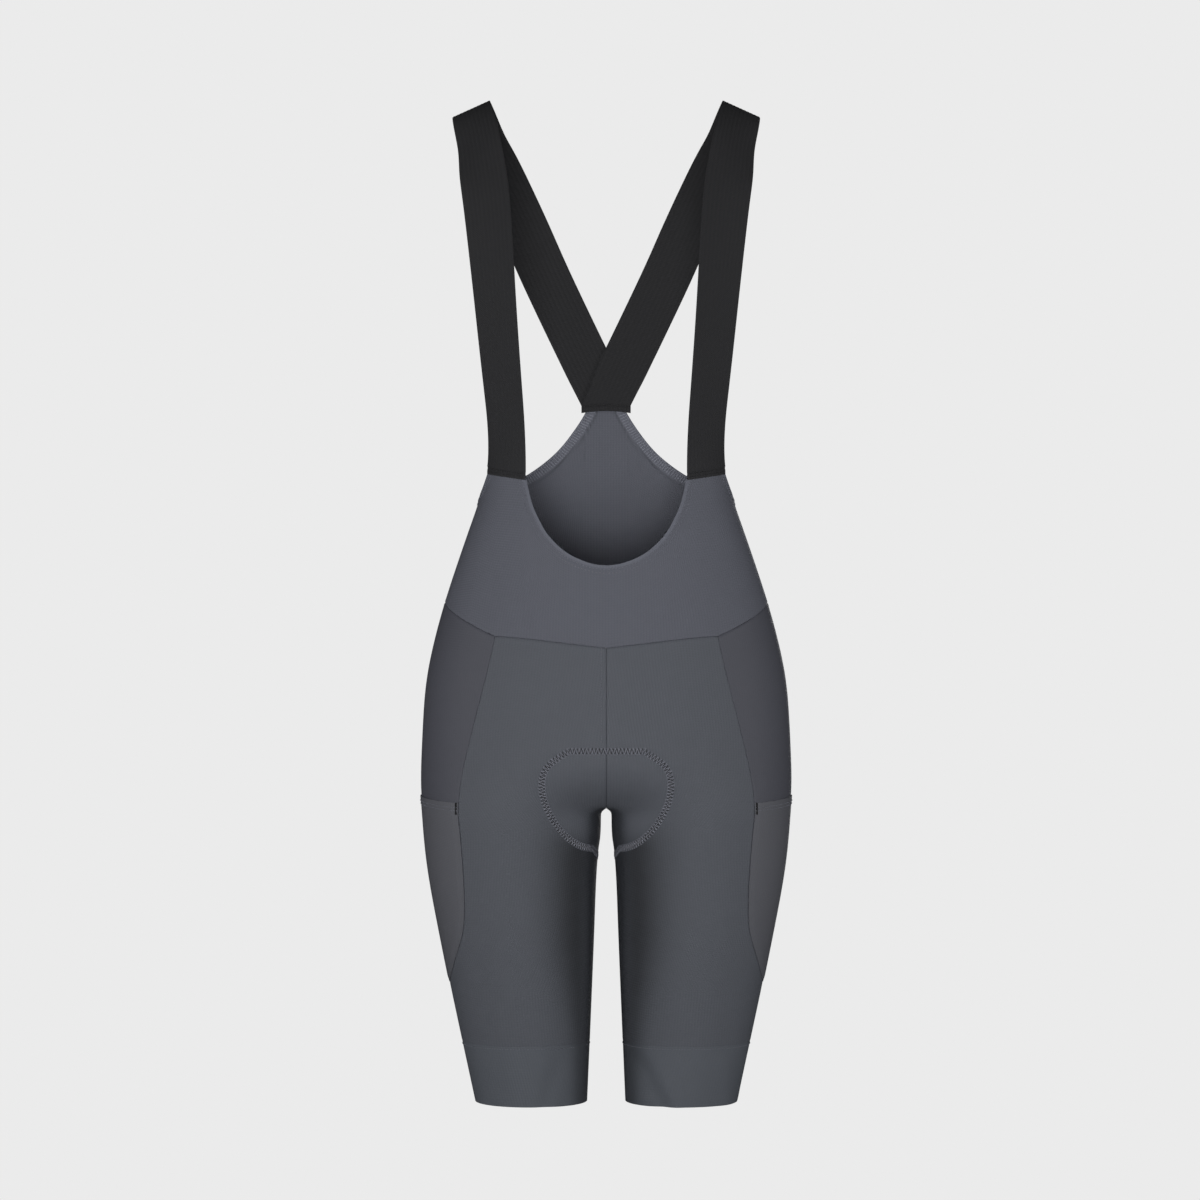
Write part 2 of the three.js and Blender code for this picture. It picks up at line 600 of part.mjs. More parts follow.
function ease(p, from, to, share, fromEnd, toEnd, shareEnd) {
  return p
    .clone()
    .addScaledVector(to.clone().sub(from), share)
    .addScaledVector(toEnd.clone().sub(fromEnd), shareEnd);
}

const leftStrap = strapGrids(true);
const rightStrap = strapGrids(false);
add("strap_left", wall(leftStrap.outer, leftStrap.inner), elastic);
add("strap_right", wall(flipped(rightStrap.outer), flipped(rightStrap.inner)), elastic);

// Seat pad: from each point of the crotch line the cloth is followed sideways, and the pad lies inside it.
const padHalf = columns(PAD, "along", ["halfWidth", "middle"]);
function padGrids() {
  const whole = [...crotchLine(-1), ...crotchLine(1).reverse().slice(1)];
  const start = whole.findIndex((p) => p.z <= PAD_FRONT && p.y < 0);
  const line = whole.slice(start);
  const length = PAD[PAD.length - 1].along;
  const run = line.reduce((out, p, i) => [...out, i ? out[i - 1] + p.distanceTo(line[i - 1]) : 0], []);
  const cut = run.findIndex((r) => r > length);
  const spine = spaced(line.slice(0, cut), PAD_ROWS);
  const rows = spine.map((p, i) => {
    const along = spine[min(i + 1, PAD_ROWS)].clone().sub(spine[max(i - 1, 0)]).normalize();
    const distance = (length * i) / PAD_ROWS;
    const step = padHalf.halfWidth(distance) / PAD_COLUMNS;
    const half = [p];
    for (let k = 0; k < PAD_COLUMNS; k++) {
      const here = half[k];
      const way = outward(here).cross(along).normalize();
      const sideways = way.x < 0 && k === 0 ? way.negate() : way;
      if (k > 0 && sideways.dot(here.clone().sub(half[k - 1])) < 0) sideways.negate();
      half.push(settle(here.clone().addScaledVector(sideways, step)));
    }
    const thick = half.map((_, k) => lerp(PAD_EDGE, padHalf.middle(distance), 1 - (k / PAD_COLUMNS) ** 3));
    const face = (depth) => [
      ...half.slice(1).map((q, k) => mirrored(moved(q, -CLOTH - PAD_GAP - depth * thick[k + 1]))).reverse(),
      ...half.map((q, k) => moved(q, -CLOTH - PAD_GAP - depth * thick[k])),
    ];
    return { outer: face(0), inner: face(1) };
  });
  return { outer: rows.map((row) => row.outer), inner: rows.map((row) => row.inner) };
}
const pad = padGrids();
add("seat_pad", wall(pad.outer, pad.inner), foam);

export default shorts;
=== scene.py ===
import math

import bpy
import numpy as np
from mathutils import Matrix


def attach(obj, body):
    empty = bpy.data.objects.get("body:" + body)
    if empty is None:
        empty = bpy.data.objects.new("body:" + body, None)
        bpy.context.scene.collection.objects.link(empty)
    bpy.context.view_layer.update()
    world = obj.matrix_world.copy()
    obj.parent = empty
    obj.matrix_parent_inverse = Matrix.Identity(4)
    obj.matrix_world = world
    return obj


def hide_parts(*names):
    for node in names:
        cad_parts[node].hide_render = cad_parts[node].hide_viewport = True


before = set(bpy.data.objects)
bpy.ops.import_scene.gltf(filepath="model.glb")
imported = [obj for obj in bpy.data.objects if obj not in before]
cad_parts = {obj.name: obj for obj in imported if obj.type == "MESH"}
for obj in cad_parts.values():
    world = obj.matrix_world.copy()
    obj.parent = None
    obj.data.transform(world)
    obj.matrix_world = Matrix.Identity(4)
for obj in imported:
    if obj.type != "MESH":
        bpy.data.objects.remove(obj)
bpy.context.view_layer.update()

# Driving sizes, in millimetres.
SHOULDER_HEIGHT = 920
BAND_TOP = 56
STRAP_WIDTH = 46
STRAP_THICKNESS = 1.6
STRAP_GAP = 0.6
CLOTH_WALL = 1.2
SEAM_GAP = 0.3
LAP = 7
PAD_GAP = 2
SHOWN_CLOTH = 0.9

# Torso rings: half width, depth in front of and behind the middle plane, and how square the ring is.
TORSO = {
    "height": [240, 300, 353, 391, 428, 465, 502, 539, 560, 581, 620, 660],
    "half_width": [172, 172, 170.2, 166.9, 159.5, 149.3, 137.2, 124.3, 117.6, 114.8, 116, 119],
    "front": [100, 104, 105, 104, 101, 97, 93, 90, 89, 88, 88, 88],
    "back": [112, 118, 120, 116, 107, 98, 92, 90, 91, 92, 95, 97],
    "square": [2.3, 2.3, 2.3, 2.3, 2.35, 2.4, 2.5, 2.7, 2.8, 2.9, 2.9, 2.9],
}

# Thigh rings: how far the outer and inner side lie from the middle plane, and the depths.
THIGH = {
    "height": [0, 56, 112, 168, 223, 255, 274, 292, 320, 360],
    "outer": [121.8, 133.9, 145.8, 157, 166.4, 169.6, 171, 172.1, 172.1, 170],
    "inner": [17.7, 15.3, 13, 10.8, 8.2, 6.1, 4.8, -4, -25, -55],
    "front": [55, 60, 67, 75, 83, 89, 92, 94, 97, 99],
    "back": [57, 63, 71, 81, 91, 98, 103, 107, 111, 113],
}
# The thighs meet in a round, small at the crotch and wide higher up, where the pad bridges them. Its width
# grows from the crotch's height, but well in front of the middle plane from lower down.
THIGH_SQUARE = 2.1
CROTCH_ROUND = 16
PAD_ROUND_FRONT = 100
PAD_ROUND_BACK = 48
PAD_ROUND_HEIGHT = 304
PAD_ROUND_LOW = 225
PAD_ROUND_NEAR = 20
PAD_ROUND_FAR = 70
CROTCH_HEIGHT = 274
THIGHS_END = 266
TORSO_BEGINS = 352

# The seam between leg and side panel: its angle round the thigh, from the outer side towards the front.
SIDE_SEAM = {
    "height": [152, 160, 179, 205, 262, 287, 333, 383, 432],
    "angle": [46, 49.5, 54.3, 57.3, 58.8, 59.2, 64.5, 73.5, 81],
}
SIDE_SEAM_TOP = 432
SIDE_SEAM_FOOT = 152
POCKET_TOP = 280.3
SIDE_TIP = 110
WAIST_AT_MIDDLE = 421.6
WAIST_SIDE_RISE = 31

# Edges of the bib: the angle round the torso, from the middle of the front, and the height.
FRONT_SCOOP = {
    "angle": [43.4, 42.4, 41.2, 39.1, 35.8, 31.2, 23.4, 15.3, 7, 0],
    "height": [581.5, 573.6, 564.1, 551.3, 538.2, 524.3, 510.3, 502.2, 497.6, 496.4],
}
FRONT_ARMHOLE = {"angle": [90, 79, 70.5, 65.4], "height": [560, 564, 575, 587.2]}
FRONT_TOP = {"angle": [65.4, 43.4], "height": [587.2, 581.5]}
BACK_ARMHOLE = {
    "angle": [90, 110, 125, 136.6, 147.4, 157.7, 168, 168.6],
    "height": [560, 564, 572.5, 582.9, 597.2, 616.2, 642.5, 650],
}
BACK_TOP = {"angle": [168.6, 180], "height": [650, 652]}
STRAP_FOOT = {"angle": [42.7, 66.2], "height": [574.1, 580.7]}
BACK_STRAP_CORNER = {"angle": 166.2, "height": 643.2}
BACK_STRAP_MIDDLE = 645.5

# The middle line of the left strap from the chest over the shoulder to the crossing, the direction from its
# inner to its outer edge, and its share of the full width, which is less where it bends over the shoulder.
STRAP_PATH = {
    "x": [91.3, 91.8, 97.2, 103.4, 109.4, 114.4, 119.6, 125.8, 119.6, 107.6, 90, 73, 56.2, 29.1, 1.4],
    "y": [-67, -70, -75, -73, -63, -50, -32, 0, 34, 55, 72, 83, 90, 93.6, 93.6],
    "z": [600, 622, 683.6, 756.6, 824.2, 862.1, 895, 922, 906.8, 880.8, 844.4, 807.5, 770, 713.2, 656.2],
    "ax": [
        0.765, 0.74, 0.782, 0.852, 0.928, 0.915, 0.855, 0.917, 0.76, 0.83, 0.88, 0.905, 0.905, 0.905, 0.905,
    ],
    "ay": [0.64, 0.67, 0.623, 0.523, 0.372, 0.38, 0.43, 0.1, 0.48, 0.36, 0.18, 0.06, 0, 0, 0],
    "az": [
        0.13, 0.05, -0.05, -0.08, -0.1, -0.15, -0.29, -0.4, -0.43, -0.4, -0.42, -0.424, -0.424, -0.424,
        -0.424,
    ],
    "width": [1, 1, 1, 1, 1, 1, 0.96, 0.83, 0.92, 1, 1, 1, 1, 1, 1],
}
FOOT_EASE = 0.1
END_EASE = 0.045
CROSSING_SHIFT = 1.1
CROSSING_BEGINS = 775
CROSSING_FULL = 725

# Seat pad: half width along the cloth at each distance along the crotch line, and its middle thickness.
PAD = {
    "along": [0, 12, 30, 50, 70, 90, 115, 145, 180, 215, 250, 275, 288],
    "half_width": [34, 50.5, 58.5, 56.5, 51, 47, 46, 50, 65, 82, 84, 66, 40],
    "middle": [3, 4, 5, 6, 6.5, 7, 7.5, 8.5, 10, 11, 9, 6, 4],
}
PAD_FRONT = 329
PAD_EDGE = 2

# Low relief of the cloth, in millimetres. Seams that are sewn softer have a share of the full depth.
SEAM_DEPTH = 0.42
SEAM_HALF_WIDTH = 0.8
SEAM_SWELL = 0.12
SEAM_SWELL_AT = 2.4
SOFT_SEAMS = {"band": 0.3, "side_front": 0.5, "side_back": 0.5}
HEM_FOLD = 7.2
HEM_RISE = 0.35
HEM_GROOVE = 0.3
INSIDE_FOLD = 0.5
INSIDE_EDGE = 9
POCKET_EDGE = 0.35
POCKET_LIFT = 0.9
POCKET_SHOWN = 0.45

# The pad's relief: the heights of its lobes, middle valley and sewn groove, how far from the outline or the
# middle each begins and ends, and the heights and distances from the middle where the thighs come close.
PAD_RISE = 1.3
PAD_LOBE_FROM_OUTLINE = (3, 17)
PAD_VALLEY = 0.8
PAD_VALLEY_HALF_WIDTH = 8
PAD_VALLEY_FROM_OUTLINE = (6, 26)
PAD_GROOVE = 0.35
PAD_SEWN = 3.4
CLOSE_THIGHS_HEIGHT = (222, 262)
CLOSE_THIGHS_REACH = (12, 26)

# Painted shade between the thighs, where the legs shade each other: its share, then its angle round the thigh
# and its half width in degrees at the hem and at the crotch, and the heights between which it turns from one
# to the other.
INNER_SHADE = 0.68
INNER_ANGLE = (151, 137)
INNER_HALF_WIDTH = (17, 22)
INNER_TURN = (20, 170)
# The heights between which it fades out on the leg and over the pad, and what is left at the hem and the pad.
INNER_FADE = (235, 285)
INNER_FADE_OVER_PAD = (225, 265)
INNER_AT_HEM = 0.7
INNER_OVER_PAD = 0.7

# How much paler the cloth is at the rim of a hem, as a share.
RIM_TINT = 0.24

# Soft folds of the legs: where each begins and ends as seen from the front, half width and height. Those of
# the back are the maker's guess at the like.
FOLDS = [
    {"face": "front", "x0": 24, "z0": 50, "x1": 50, "z1": 1, "half_width": 7, "rise": -2.4},
    {"face": "front", "x0": 38, "z0": 56, "x1": 64, "z1": 2, "half_width": 7, "rise": 1.4},
    {"face": "front", "x0": 106, "z0": 44, "x1": 112, "z1": 4, "half_width": 8, "rise": 1.4},
    {"face": "front", "x0": -40, "z0": 52, "x1": -56, "z1": 2, "half_width": 8, "rise": -1.5},
    {"face": "back", "x0": 40, "z0": 60, "x1": 58, "z1": 4, "half_width": 8, "rise": -1.1},
    {"face": "back", "x0": -38, "z0": 56, "x1": -52, "z1": 4, "half_width": 8, "rise": -1.1},
    {"face": "back", "x0": 18, "z0": 262, "x1": 74, "z1": 236, "half_width": 9, "rise": -1.2},
    {"face": "back", "x0": -18, "z0": 262, "x1": -74, "z1": 236, "half_width": 9, "rise": -1.2},
]

# Camera: level, square to the front, its middle at the height of the photo's middle row.
CAMERA_DISTANCE = 3.6
CAMERA_X = -0.0058
CAMERA_Z = -0.455
CAMERA_LENS = 116.1

HALF_PI = math.pi / 2


class Curve:
    """A natural cubic spline: pieces of third degree through the knots, straight beyond its ends."""

    def __init__(self, x, y):
        self.x = np.array(x, float)
        self.y = np.array(y, float)
        step = np.diff(self.x)
        count = len(self.x)
        system = np.eye(count)
        turn = np.zeros(count)
        for i in range(1, count - 1):
            system[i, i - 1 : i + 2] = step[i - 1], 2 * (step[i - 1] + step[i]), step[i]
            turn[i] = 6 * ((y[i + 1] - y[i]) / step[i] - (y[i] - y[i - 1]) / step[i - 1])
        self.bend = np.linalg.solve(system, turn)

    def __call__(self, at):
        at = np.asarray(at, float)
        held = np.clip(at, self.x[0], self.x[-1])
        i = np.clip(np.searchsorted(self.x, held, side="right") - 1, 0, len(self.x) - 2)
        step = self.x[i + 1] - self.x[i]
        b = (held - self.x[i]) / step
        a = 1 - b
        low, high = self.bend[i], self.bend[i + 1]
        value = a * self.y[i] + b * self.y[i + 1] + ((a**3 - a) * low + (b**3 - b) * high) * step**2 / 6
        rise = (self.y[i + 1] - self.y[i]) / step
        slope = rise + step * ((3 * b**2 - 1) * high - (3 * a**2 - 1) * low) / 6
        return value + (at - held) * slope


def curves(table, over):
    """One curve for each other column of a table."""
    return {name: Curve(table[over], column) for name, column in table.items() if name != over}


torso = curves(TORSO, "height")
thigh = curves(THIGH, "height")
side_seam_angle = curves(SIDE_SEAM, "height")["angle"]
pad_size = curves(PAD, "along")
path_share = np.linspace(0, 1, len(STRAP_PATH["x"]))
strap_path = {name: Curve(path_share, column) for name, column in STRAP_PATH.items()}


def smooth(value, low, high):
    """0 below low, 1 above high, with an even S between: 3t² - 2t³."""
    t = np.clip((value - low) / (high - low), 0, 1)
    return t * t * (3 - 2 * t)


def lerp(a, b, share):
    """A straight mix: a at share 0, b at share 1."""
    return a + (b - a) * share


def bump(distance, half_width):
    """A soft bell: 1 at no distance, e^-1 at half_width."""
    return np.exp(-((distance / half_width) ** 2))


def unit(vectors):
    """Vectors scaled to length 1."""
    return vectors / np.maximum(np.linalg.norm(vectors, axis=-1, keepdims=True), 1e-12)


def points(x, y, z):
    """Coordinates of any matching shapes joined into points."""
    return np.stack(np.broadcast_arrays(x, y, z), axis=-1).astype(float)


def outside_ring(x, y, half_width, depth, square):
    """How far a point lies outside a ring |x/w|^s + |y/d|^s = 1, along the line from the ring's middle."""
    share = (np.abs(x / half_width) ** square + np.abs(y / depth) ** square) ** (1 / square)
    held = np.maximum(share, 1e-9)
    return np.where(share < 1e-9, -np.minimum(half_width, depth), np.hypot(x, y) * (1 - 1 / held))


def outside_thigh(x, y, z):
    """The ring rule with the left thigh's sections."""
    outer, inner = thigh["outer"](z), thigh["inner"](z)
    depth = np.where(y < 0, thigh["front"](z), thigh["back"](z))
    return outside_ring(x - (outer + inner) / 2, y, (outer - inner) / 2, depth, THIGH_SQUARE)


def outside_form(at):
    """The lesser of both thighs, rounded where they meet, which turns into the torso with height."""
    x, y, z = at[..., 0], at[..., 1], at[..., 2]
    part = smooth(z, THIGHS_END, TORSO_BEGINS)
    left, right = outside_thigh(x, y, z), outside_thigh(-x, y, z)
    wide = np.where(y < 0, PAD_ROUND_FRONT, PAD_ROUND_BACK)
    grown = smooth(z, CROTCH_HEIGHT, PAD_ROUND_HEIGHT)
    grown_in_front = smooth(z, PAD_ROUND_LOW, PAD_ROUND_HEIGHT)
    share = lerp(grown, grown_in_front, smooth(-y, PAD_ROUND_NEAR, PAD_ROUND_FAR))
    rounding = lerp(CROTCH_ROUND, wide, share)
    near = np.maximum(rounding - np.abs(left - right), 0) / rounding
    legs = np.minimum(left, right) - near * near * rounding / 4
    depth = np.where(y < 0, torso["front"](z), torso["back"](z))
    body = outside_ring(x, y, torso["half_width"](z), depth, torso["square"](z))
    return (1 - part) * legs + part * body


def leave(start, way):
    """Where lines from inside leave the form, by halving, but no further than the middle plane."""
    start, way = np.broadcast_arrays(start, way)
    low = np.zeros(start.shape[:-1])
    crosses = (start[..., 0] > 0) & (way[..., 0] < -1e-9)
    reach = np.where(crosses, start[..., 0] / np.maximum(-way[..., 0], 1e-9), 320)
    high = np.minimum(reach, 320)
    for _ in range(34):
        middle = (low + high) / 2
        inside = outside_form(start + way * middle[..., None]) < 0
        low = np.where(inside, middle, low)
        high = np.where(inside, high, middle)
    return start + way * ((low + high) / 2)[..., None]


def outward(at):
    """The way in which the form's outside rule grows, from central differences of 1.5 mm."""
    slopes = []
    for axis in np.eye(3) * 1.5:
        slopes.append(outside_form(at + axis) - outside_form(at - axis))
    return unit(np.stack(slopes, axis=-1))


def settle(at):
    """The nearest points of the form, by steps down its slope."""
    for _ in range(5):
        at = at - outward(at) * outside_form(at)[..., None]
    return at


def thigh_middle(z):
    """The middle of the left thigh, held straight above the crotch."""
    height = np.minimum(z, CROTCH_HEIGHT)
    return (thigh["outer"](height) + thigh["inner"](height)) / 2


def on_thigh(angle, z):
    """Points of the left leg or hip: the angle runs from the outer side (0) over the front (90) to the
    inner side (180)."""
    turn = np.radians(angle)
    zero = np.zeros_like(turn * z)
    return leave(points(thigh_middle(z), zero, z), points(np.cos(turn), -np.sin(turn), zero))


def on_torso(angle, z):
    """Points of the bib: the angle runs from the middle of the front (0) over the left side (90) to the
    middle of the back (180)."""
    turn = np.radians(angle)
    zero = np.zeros_like(turn * z)
    return leave(points(zero, zero, z), points(np.sin(turn), -np.cos(turn), zero))


def thigh_angle(at):
    """The angle round the thigh of a point."""
    return np.degrees(np.arctan2(-at[..., 1], at[..., 0] - thigh_middle(at[..., 2])))


def torso_angle(at):
    """The angle round the torso of a point."""
    return np.degrees(np.arctan2(at[..., 0], -at[..., 1]))


def run_of(line):
    """The length of a line of points up to each point."""
    return np.concatenate([[0], np.cumsum(np.linalg.norm(np.diff(line, axis=0), axis=1))])


def places(line, known, want):
    """Points on a line at wanted runs, from its points and their known runs."""
    return np.stack([np.interp(want, known, line[:, i]) for i in range(3)], axis=-1)


def spread(length, step, last=True):
    """Shares of a length: steps that grow from 0.4 mm beside a sewn edge to the even step between."""
    start = np.array([0.4, 0.9, 1.5, 2.2, 3.1, 4.3, 5.6, 7.0, 8.6, 10.6, 13])
    end = length - start[::-1] if last else np.array([])
    inner_high = end[0] if last else length
    count = max(int((inner_high - start[-1]) / step), 2)
    middle = np.linspace(start[-1], inner_high, count + 1)[1:-1]
    return np.concatenate([[0], start, middle, end, [length]]) / length


# The lines of the form.
EYE = 340


def crotch_line(face, share):
    """Points in the middle plane from the waist seam (0) to the crotch (1), evenly by length. Face -1 is the
    front."""
    eye = np.array([0.0, 0.0, EYE])
    waist = leave(np.array([0.0, 0.0, WAIST_AT_MIDDLE]), np.array([0.0, face, 0.0]))
    begin = math.atan2(WAIST_AT_MIDDLE - EYE, abs(waist[1]))
    turns = np.linspace(begin, -HALF_PI, 241)

    def cast(turn):
        return leave(eye, points(0 * turn, face * np.cos(turn), np.sin(turn)))

    run = run_of(cast(turns))
    return cast(np.interp(np.asarray(share) * run[-1], run, turns))


CROTCH_LINE_ROWS = 11
SEAM_ROWS_ABOVE_POCKET = 9
SEAM_ROWS = 18
TIP_ROWS = 4
LEG_ROWS = 24
crotch_z = {face: crotch_line(face, np.array([1.0]))[0, 2] for face in (-1, 1)}


def tip_height(angle):
    """The side panel's lower edge, a round foot: the tip's height plus a square of the angle."""
    reach = side_seam_angle(SIDE_SEAM_FOOT)
    return SIDE_TIP + (SIDE_SEAM_FOOT - SIDE_TIP) * (angle / reach) ** 2


def seam_height(row):
    """The height of a side seam row: even steps down to the pocket's top and then to the seam's foot."""
    marks = [0, SEAM_ROWS_ABOVE_POCKET, SEAM_ROWS]
    return np.interp(row, marks, [SIDE_SEAM_TOP, POCKET_TOP, SIDE_SEAM_FOOT])


def outer_end(row):
    """Angle and height where a leg row ends: down the side seam, along the side panel's foot, then down the
    outer side to the band."""
    height = seam_height(np.minimum(row, SEAM_ROWS))
    tip_share = np.clip((row - SEAM_ROWS) / TIP_ROWS, 0, 1)
    angle = side_seam_angle(height) * (1 - tip_share)
    below = np.clip((row - SEAM_ROWS - TIP_ROWS) / (LEG_ROWS - SEAM_ROWS - TIP_ROWS), 0, 1)
    height = np.where(row > SEAM_ROWS, tip_height(angle), height)
    return angle, lerp(height, BAND_TOP, below)


def inner_end(row, face):
    """Where a leg row begins: down the middle line to the crotch, then down the inseam."""
    line = crotch_line(face, np.minimum(row / CROTCH_LINE_ROWS, 1))
    down = np.clip((row - CROTCH_LINE_ROWS) / (LEG_ROWS - CROTCH_LINE_ROWS), 0, 1)
    inseam = on_thigh(np.full(len(row), 180.0), lerp(crotch_z[face], BAND_TOP, down**1.5))
    return np.where((row > CROTCH_LINE_ROWS)[:, None], inseam, line)


def leg_points(face, rows, shares):
    """A leg panel of the left side. Between the ends of a row the angle runs evenly and the height along a
    power curve at the waist, which turns into an even S lower down. Face -1 is the front."""
    inner = inner_end(rows, face)
    begin = np.where(rows < CROTCH_LINE_ROWS, np.abs(thigh_angle(inner)), 180)
    end, end_height = outer_end(rows)
    side = -face
    share = shares[None, :]
    blend = np.minimum(rows / 4, 1)[:, None]
    level = lerp(1 - (1 - share) ** 1.6, smooth(share, 0, 1), blend)
    angle = side * lerp(begin[:, None], end[:, None], share)
    grid = on_thigh(angle, lerp(inner[:, 2:3], end_height[:, None], level))
    grid[:, 0] = inner
    return grid


def side_points(rows, shares):
    """The side panel or part of it, from its front seam (share 0) round the hip to its back seam (1). The top
    rises by a sine and the foot drops by a power of the row."""
    height = seam_height(rows)[:, None]
    reach = side_seam_angle(height)
    share = (rows / SEAM_ROWS)[:, None]
    angle = reach * (1 - 2 * shares[None, :])
    inside = 1 - np.abs(angle) / reach
    rise = (1 - share) ** 1.5 * WAIST_SIDE_RISE * np.sin(inside * HALF_PI)
    foot_angle = angle / reach * side_seam_angle(SIDE_SEAM_FOOT)
    drop = share**2.5 * (SIDE_SEAM_FOOT - tip_height(foot_angle))
    return on_thigh(angle, height + rise - drop)


def edge_marks(marks, share):
    """Angle and height along an edge of the bib, evenly by length on the form."""
    knots = np.arange(len(marks["angle"]))
    fine = np.linspace(0, knots[-1], 12 * knots[-1] + 1)
    angle = Curve(knots, marks["angle"])(fine)
    height = Curve(knots, marks["height"])(fine)
    run = run_of(on_torso(angle, height))
    want = np.asarray(share) * run[-1]
    return np.interp(want, run, angle), np.interp(want, run, height)


# A bib panel's columns are counted from the side (0) to the middle (16), and change what they meet here.
SIDE_TO_LEG = 4
MIDDLE_COLUMN = 16
BIB_EDGES = {
    -1: [(0, 3, FRONT_ARMHOLE), (3, 7, FRONT_TOP), (7, 16, FRONT_SCOOP)],
    1: [(0, 13, BACK_ARMHOLE), (13, 16, BACK_TOP)],
}


def bib_foot(face, columns):
    """The waist seam from the side to the middle: the side panel's top, then the leg's first row."""
    over_side = np.minimum(columns / SIDE_TO_LEG, 1)
    share = 0.5 + face * over_side / 2
    side = side_points(np.zeros(1), share)[0]
    leg_share = np.clip(1 - (columns - SIDE_TO_LEG) / (MIDDLE_COLUMN - SIDE_TO_LEG), 0, 1)
    leg = leg_points(face, np.zeros(1), leg_share)[0]
    return np.where((columns > SIDE_TO_LEG)[:, None], leg, side)


def bib_edge(face, columns):
    """Angle and height of the upper edge at each column."""
    angle, height = np.zeros(len(columns)), np.zeros(len(columns))
    for start, end, marks in BIB_EDGES[face]:
        here = (columns >= start) & (columns <= end)
        angle[here], height[here] = edge_marks(marks, (columns[here] - start) / (end - start))
    return angle, height


def bib_points(face, shares, columns):
    """A whole bib panel: straight lines of angle and height from the waist seam up to the edge."""
    foot = bib_foot(face, columns)
    angle, height = bib_edge(face, columns)
    share = shares[:, None]
    half = on_torso(lerp(torso_angle(foot), angle, share), lerp(foot[:, 2], height, share))
    return np.concatenate([mirrored(half), half[:, -2::-1]], axis=1)


def mirrored(at):
    """The same points on the other side of the middle plane."""
    return at * np.array([-1.0, 1.0, 1.0])


def band_points(shares, columns):
    """The band at a leg hem, all round: even steps of height, and of angle from the inner side."""
    height = lerp(BAND_TOP, 0, shares)[:, None]
    return on_thigh(180 - 360 * columns[None, :], height)


def pad_form(alongs, shares):
    """The pad's place on the form: from each point of the crotch line the cloth is followed sideways. The
    points run from the middle to the left edge."""
    front = crotch_line(-1, np.linspace(0, 1, 241))
    back = crotch_line(1, np.linspace(1, 0, 241))
    whole = np.concatenate([front, back[1:]])
    begin = int(np.argmax((whole[:, 2] <= PAD_FRONT) & (whole[:, 1] < 0)))
    line = whole[begin:]
    spine = places(line, run_of(line), alongs)
    along = unit(np.gradient(spine, axis=0))
    half_width = pad_size["half_width"](alongs)
    rows = [spine]
    for k in range(1, len(shares)):
        here = rows[-1]
        way = unit(np.cross(outward(here), along))
        before = here - rows[-2] if k > 1 else points(np.ones(len(here)), 0, 0)
        way = way * np.sign((way * before).sum(-1))[:, None]
        rows.append(settle(here + way * (half_width * (shares[k] - shares[k - 1]))[:, None]))
    return np.stack(rows, axis=1)


def near(at, line):
    """The distance from each point to the nearest place on a line of points."""
    flat = at.reshape(-1, 3)
    way = np.diff(line, axis=0)
    square = np.maximum((way * way).sum(-1), 1e-12)
    best = np.full(len(flat), np.inf)
    for start in range(0, len(flat), 2000):
        some = flat[start : start + 2000]
        gap = some[:, None] - line[None, :-1]
        share = np.clip((gap * way).sum(-1) / square, 0, 1)
        gap -= share[..., None] * way
        best[start : start + 2000] = np.sqrt((gap * gap).sum(-1).min(1))
    return best.reshape(at.shape[:-1])


# Sewn lines, on the left side. Relief takes them for both sides by the distance from the middle plane.
even = np.linspace(0, 1, 90)
pad_alongs = np.linspace(0, PAD["along"][-1], 73)
pad_shares = np.linspace(0, 1, 25)
pad_half = pad_form(pad_alongs, pad_shares)
tip_angles = np.linspace(side_seam_angle(SIDE_SEAM_FOOT), 0, 24)[1:]
side_heights = np.linspace(SIDE_SEAM_TOP, SIDE_SEAM_FOOT, 70)


def side_seam_line(side):
    """The seam round the side panel, down to the middle of its foot. Side 1 is the front."""
    upper = on_thigh(side * side_seam_angle(side_heights), side_heights)
    foot = on_thigh(side * tip_angles, tip_height(tip_angles))
    return np.concatenate([upper, foot])


def edge_line(marks):
    """An edge of the bib as points."""
    return on_torso(*edge_marks(marks, even))


LINES = {
    "waist_front": bib_foot(-1, even * MIDDLE_COLUMN),
    "waist_back": bib_foot(1, even * MIDDLE_COLUMN),
    "middle_front": crotch_line(-1, even),
    "middle_back": crotch_line(1, even),
    "side_front": side_seam_line(1),
    "side_back": side_seam_line(-1),
    "inseam": on_thigh(np.full(60, 180.0), np.linspace(crotch_z[-1], BAND_TOP, 60)),
    "band": on_thigh(np.linspace(-180, 180, 145), np.full(145, float(BAND_TOP))),
    "scoop": edge_line(FRONT_SCOOP),
    "armhole_front": edge_line(FRONT_ARMHOLE),
    "armhole_back": edge_line(BACK_ARMHOLE),
    "top_back": edge_line(BACK_TOP),
    "pad": np.concatenate([pad_half[0], pad_half[1:, -1], pad_half[-1, -2::-1]]),
}


def seam_relief(distance):
    """A narrow groove with a faint swell beside it."""
    return SEAM_SWELL * bump(distance - SEAM_SWELL_AT, 1.1) - SEAM_DEPTH * bump(distance, SEAM_HALF_WIDTH)


def hem_relief(distance):
    """A folded hem: raised cloth as wide as the fold, and a sewn groove at its edge."""
    raised = HEM_RISE * (1 - smooth(distance, HEM_FOLD, HEM_FOLD + 0.9))
    return raised - HEM_GROOVE * bump(distance - HEM_FOLD - 0.2, 0.6)


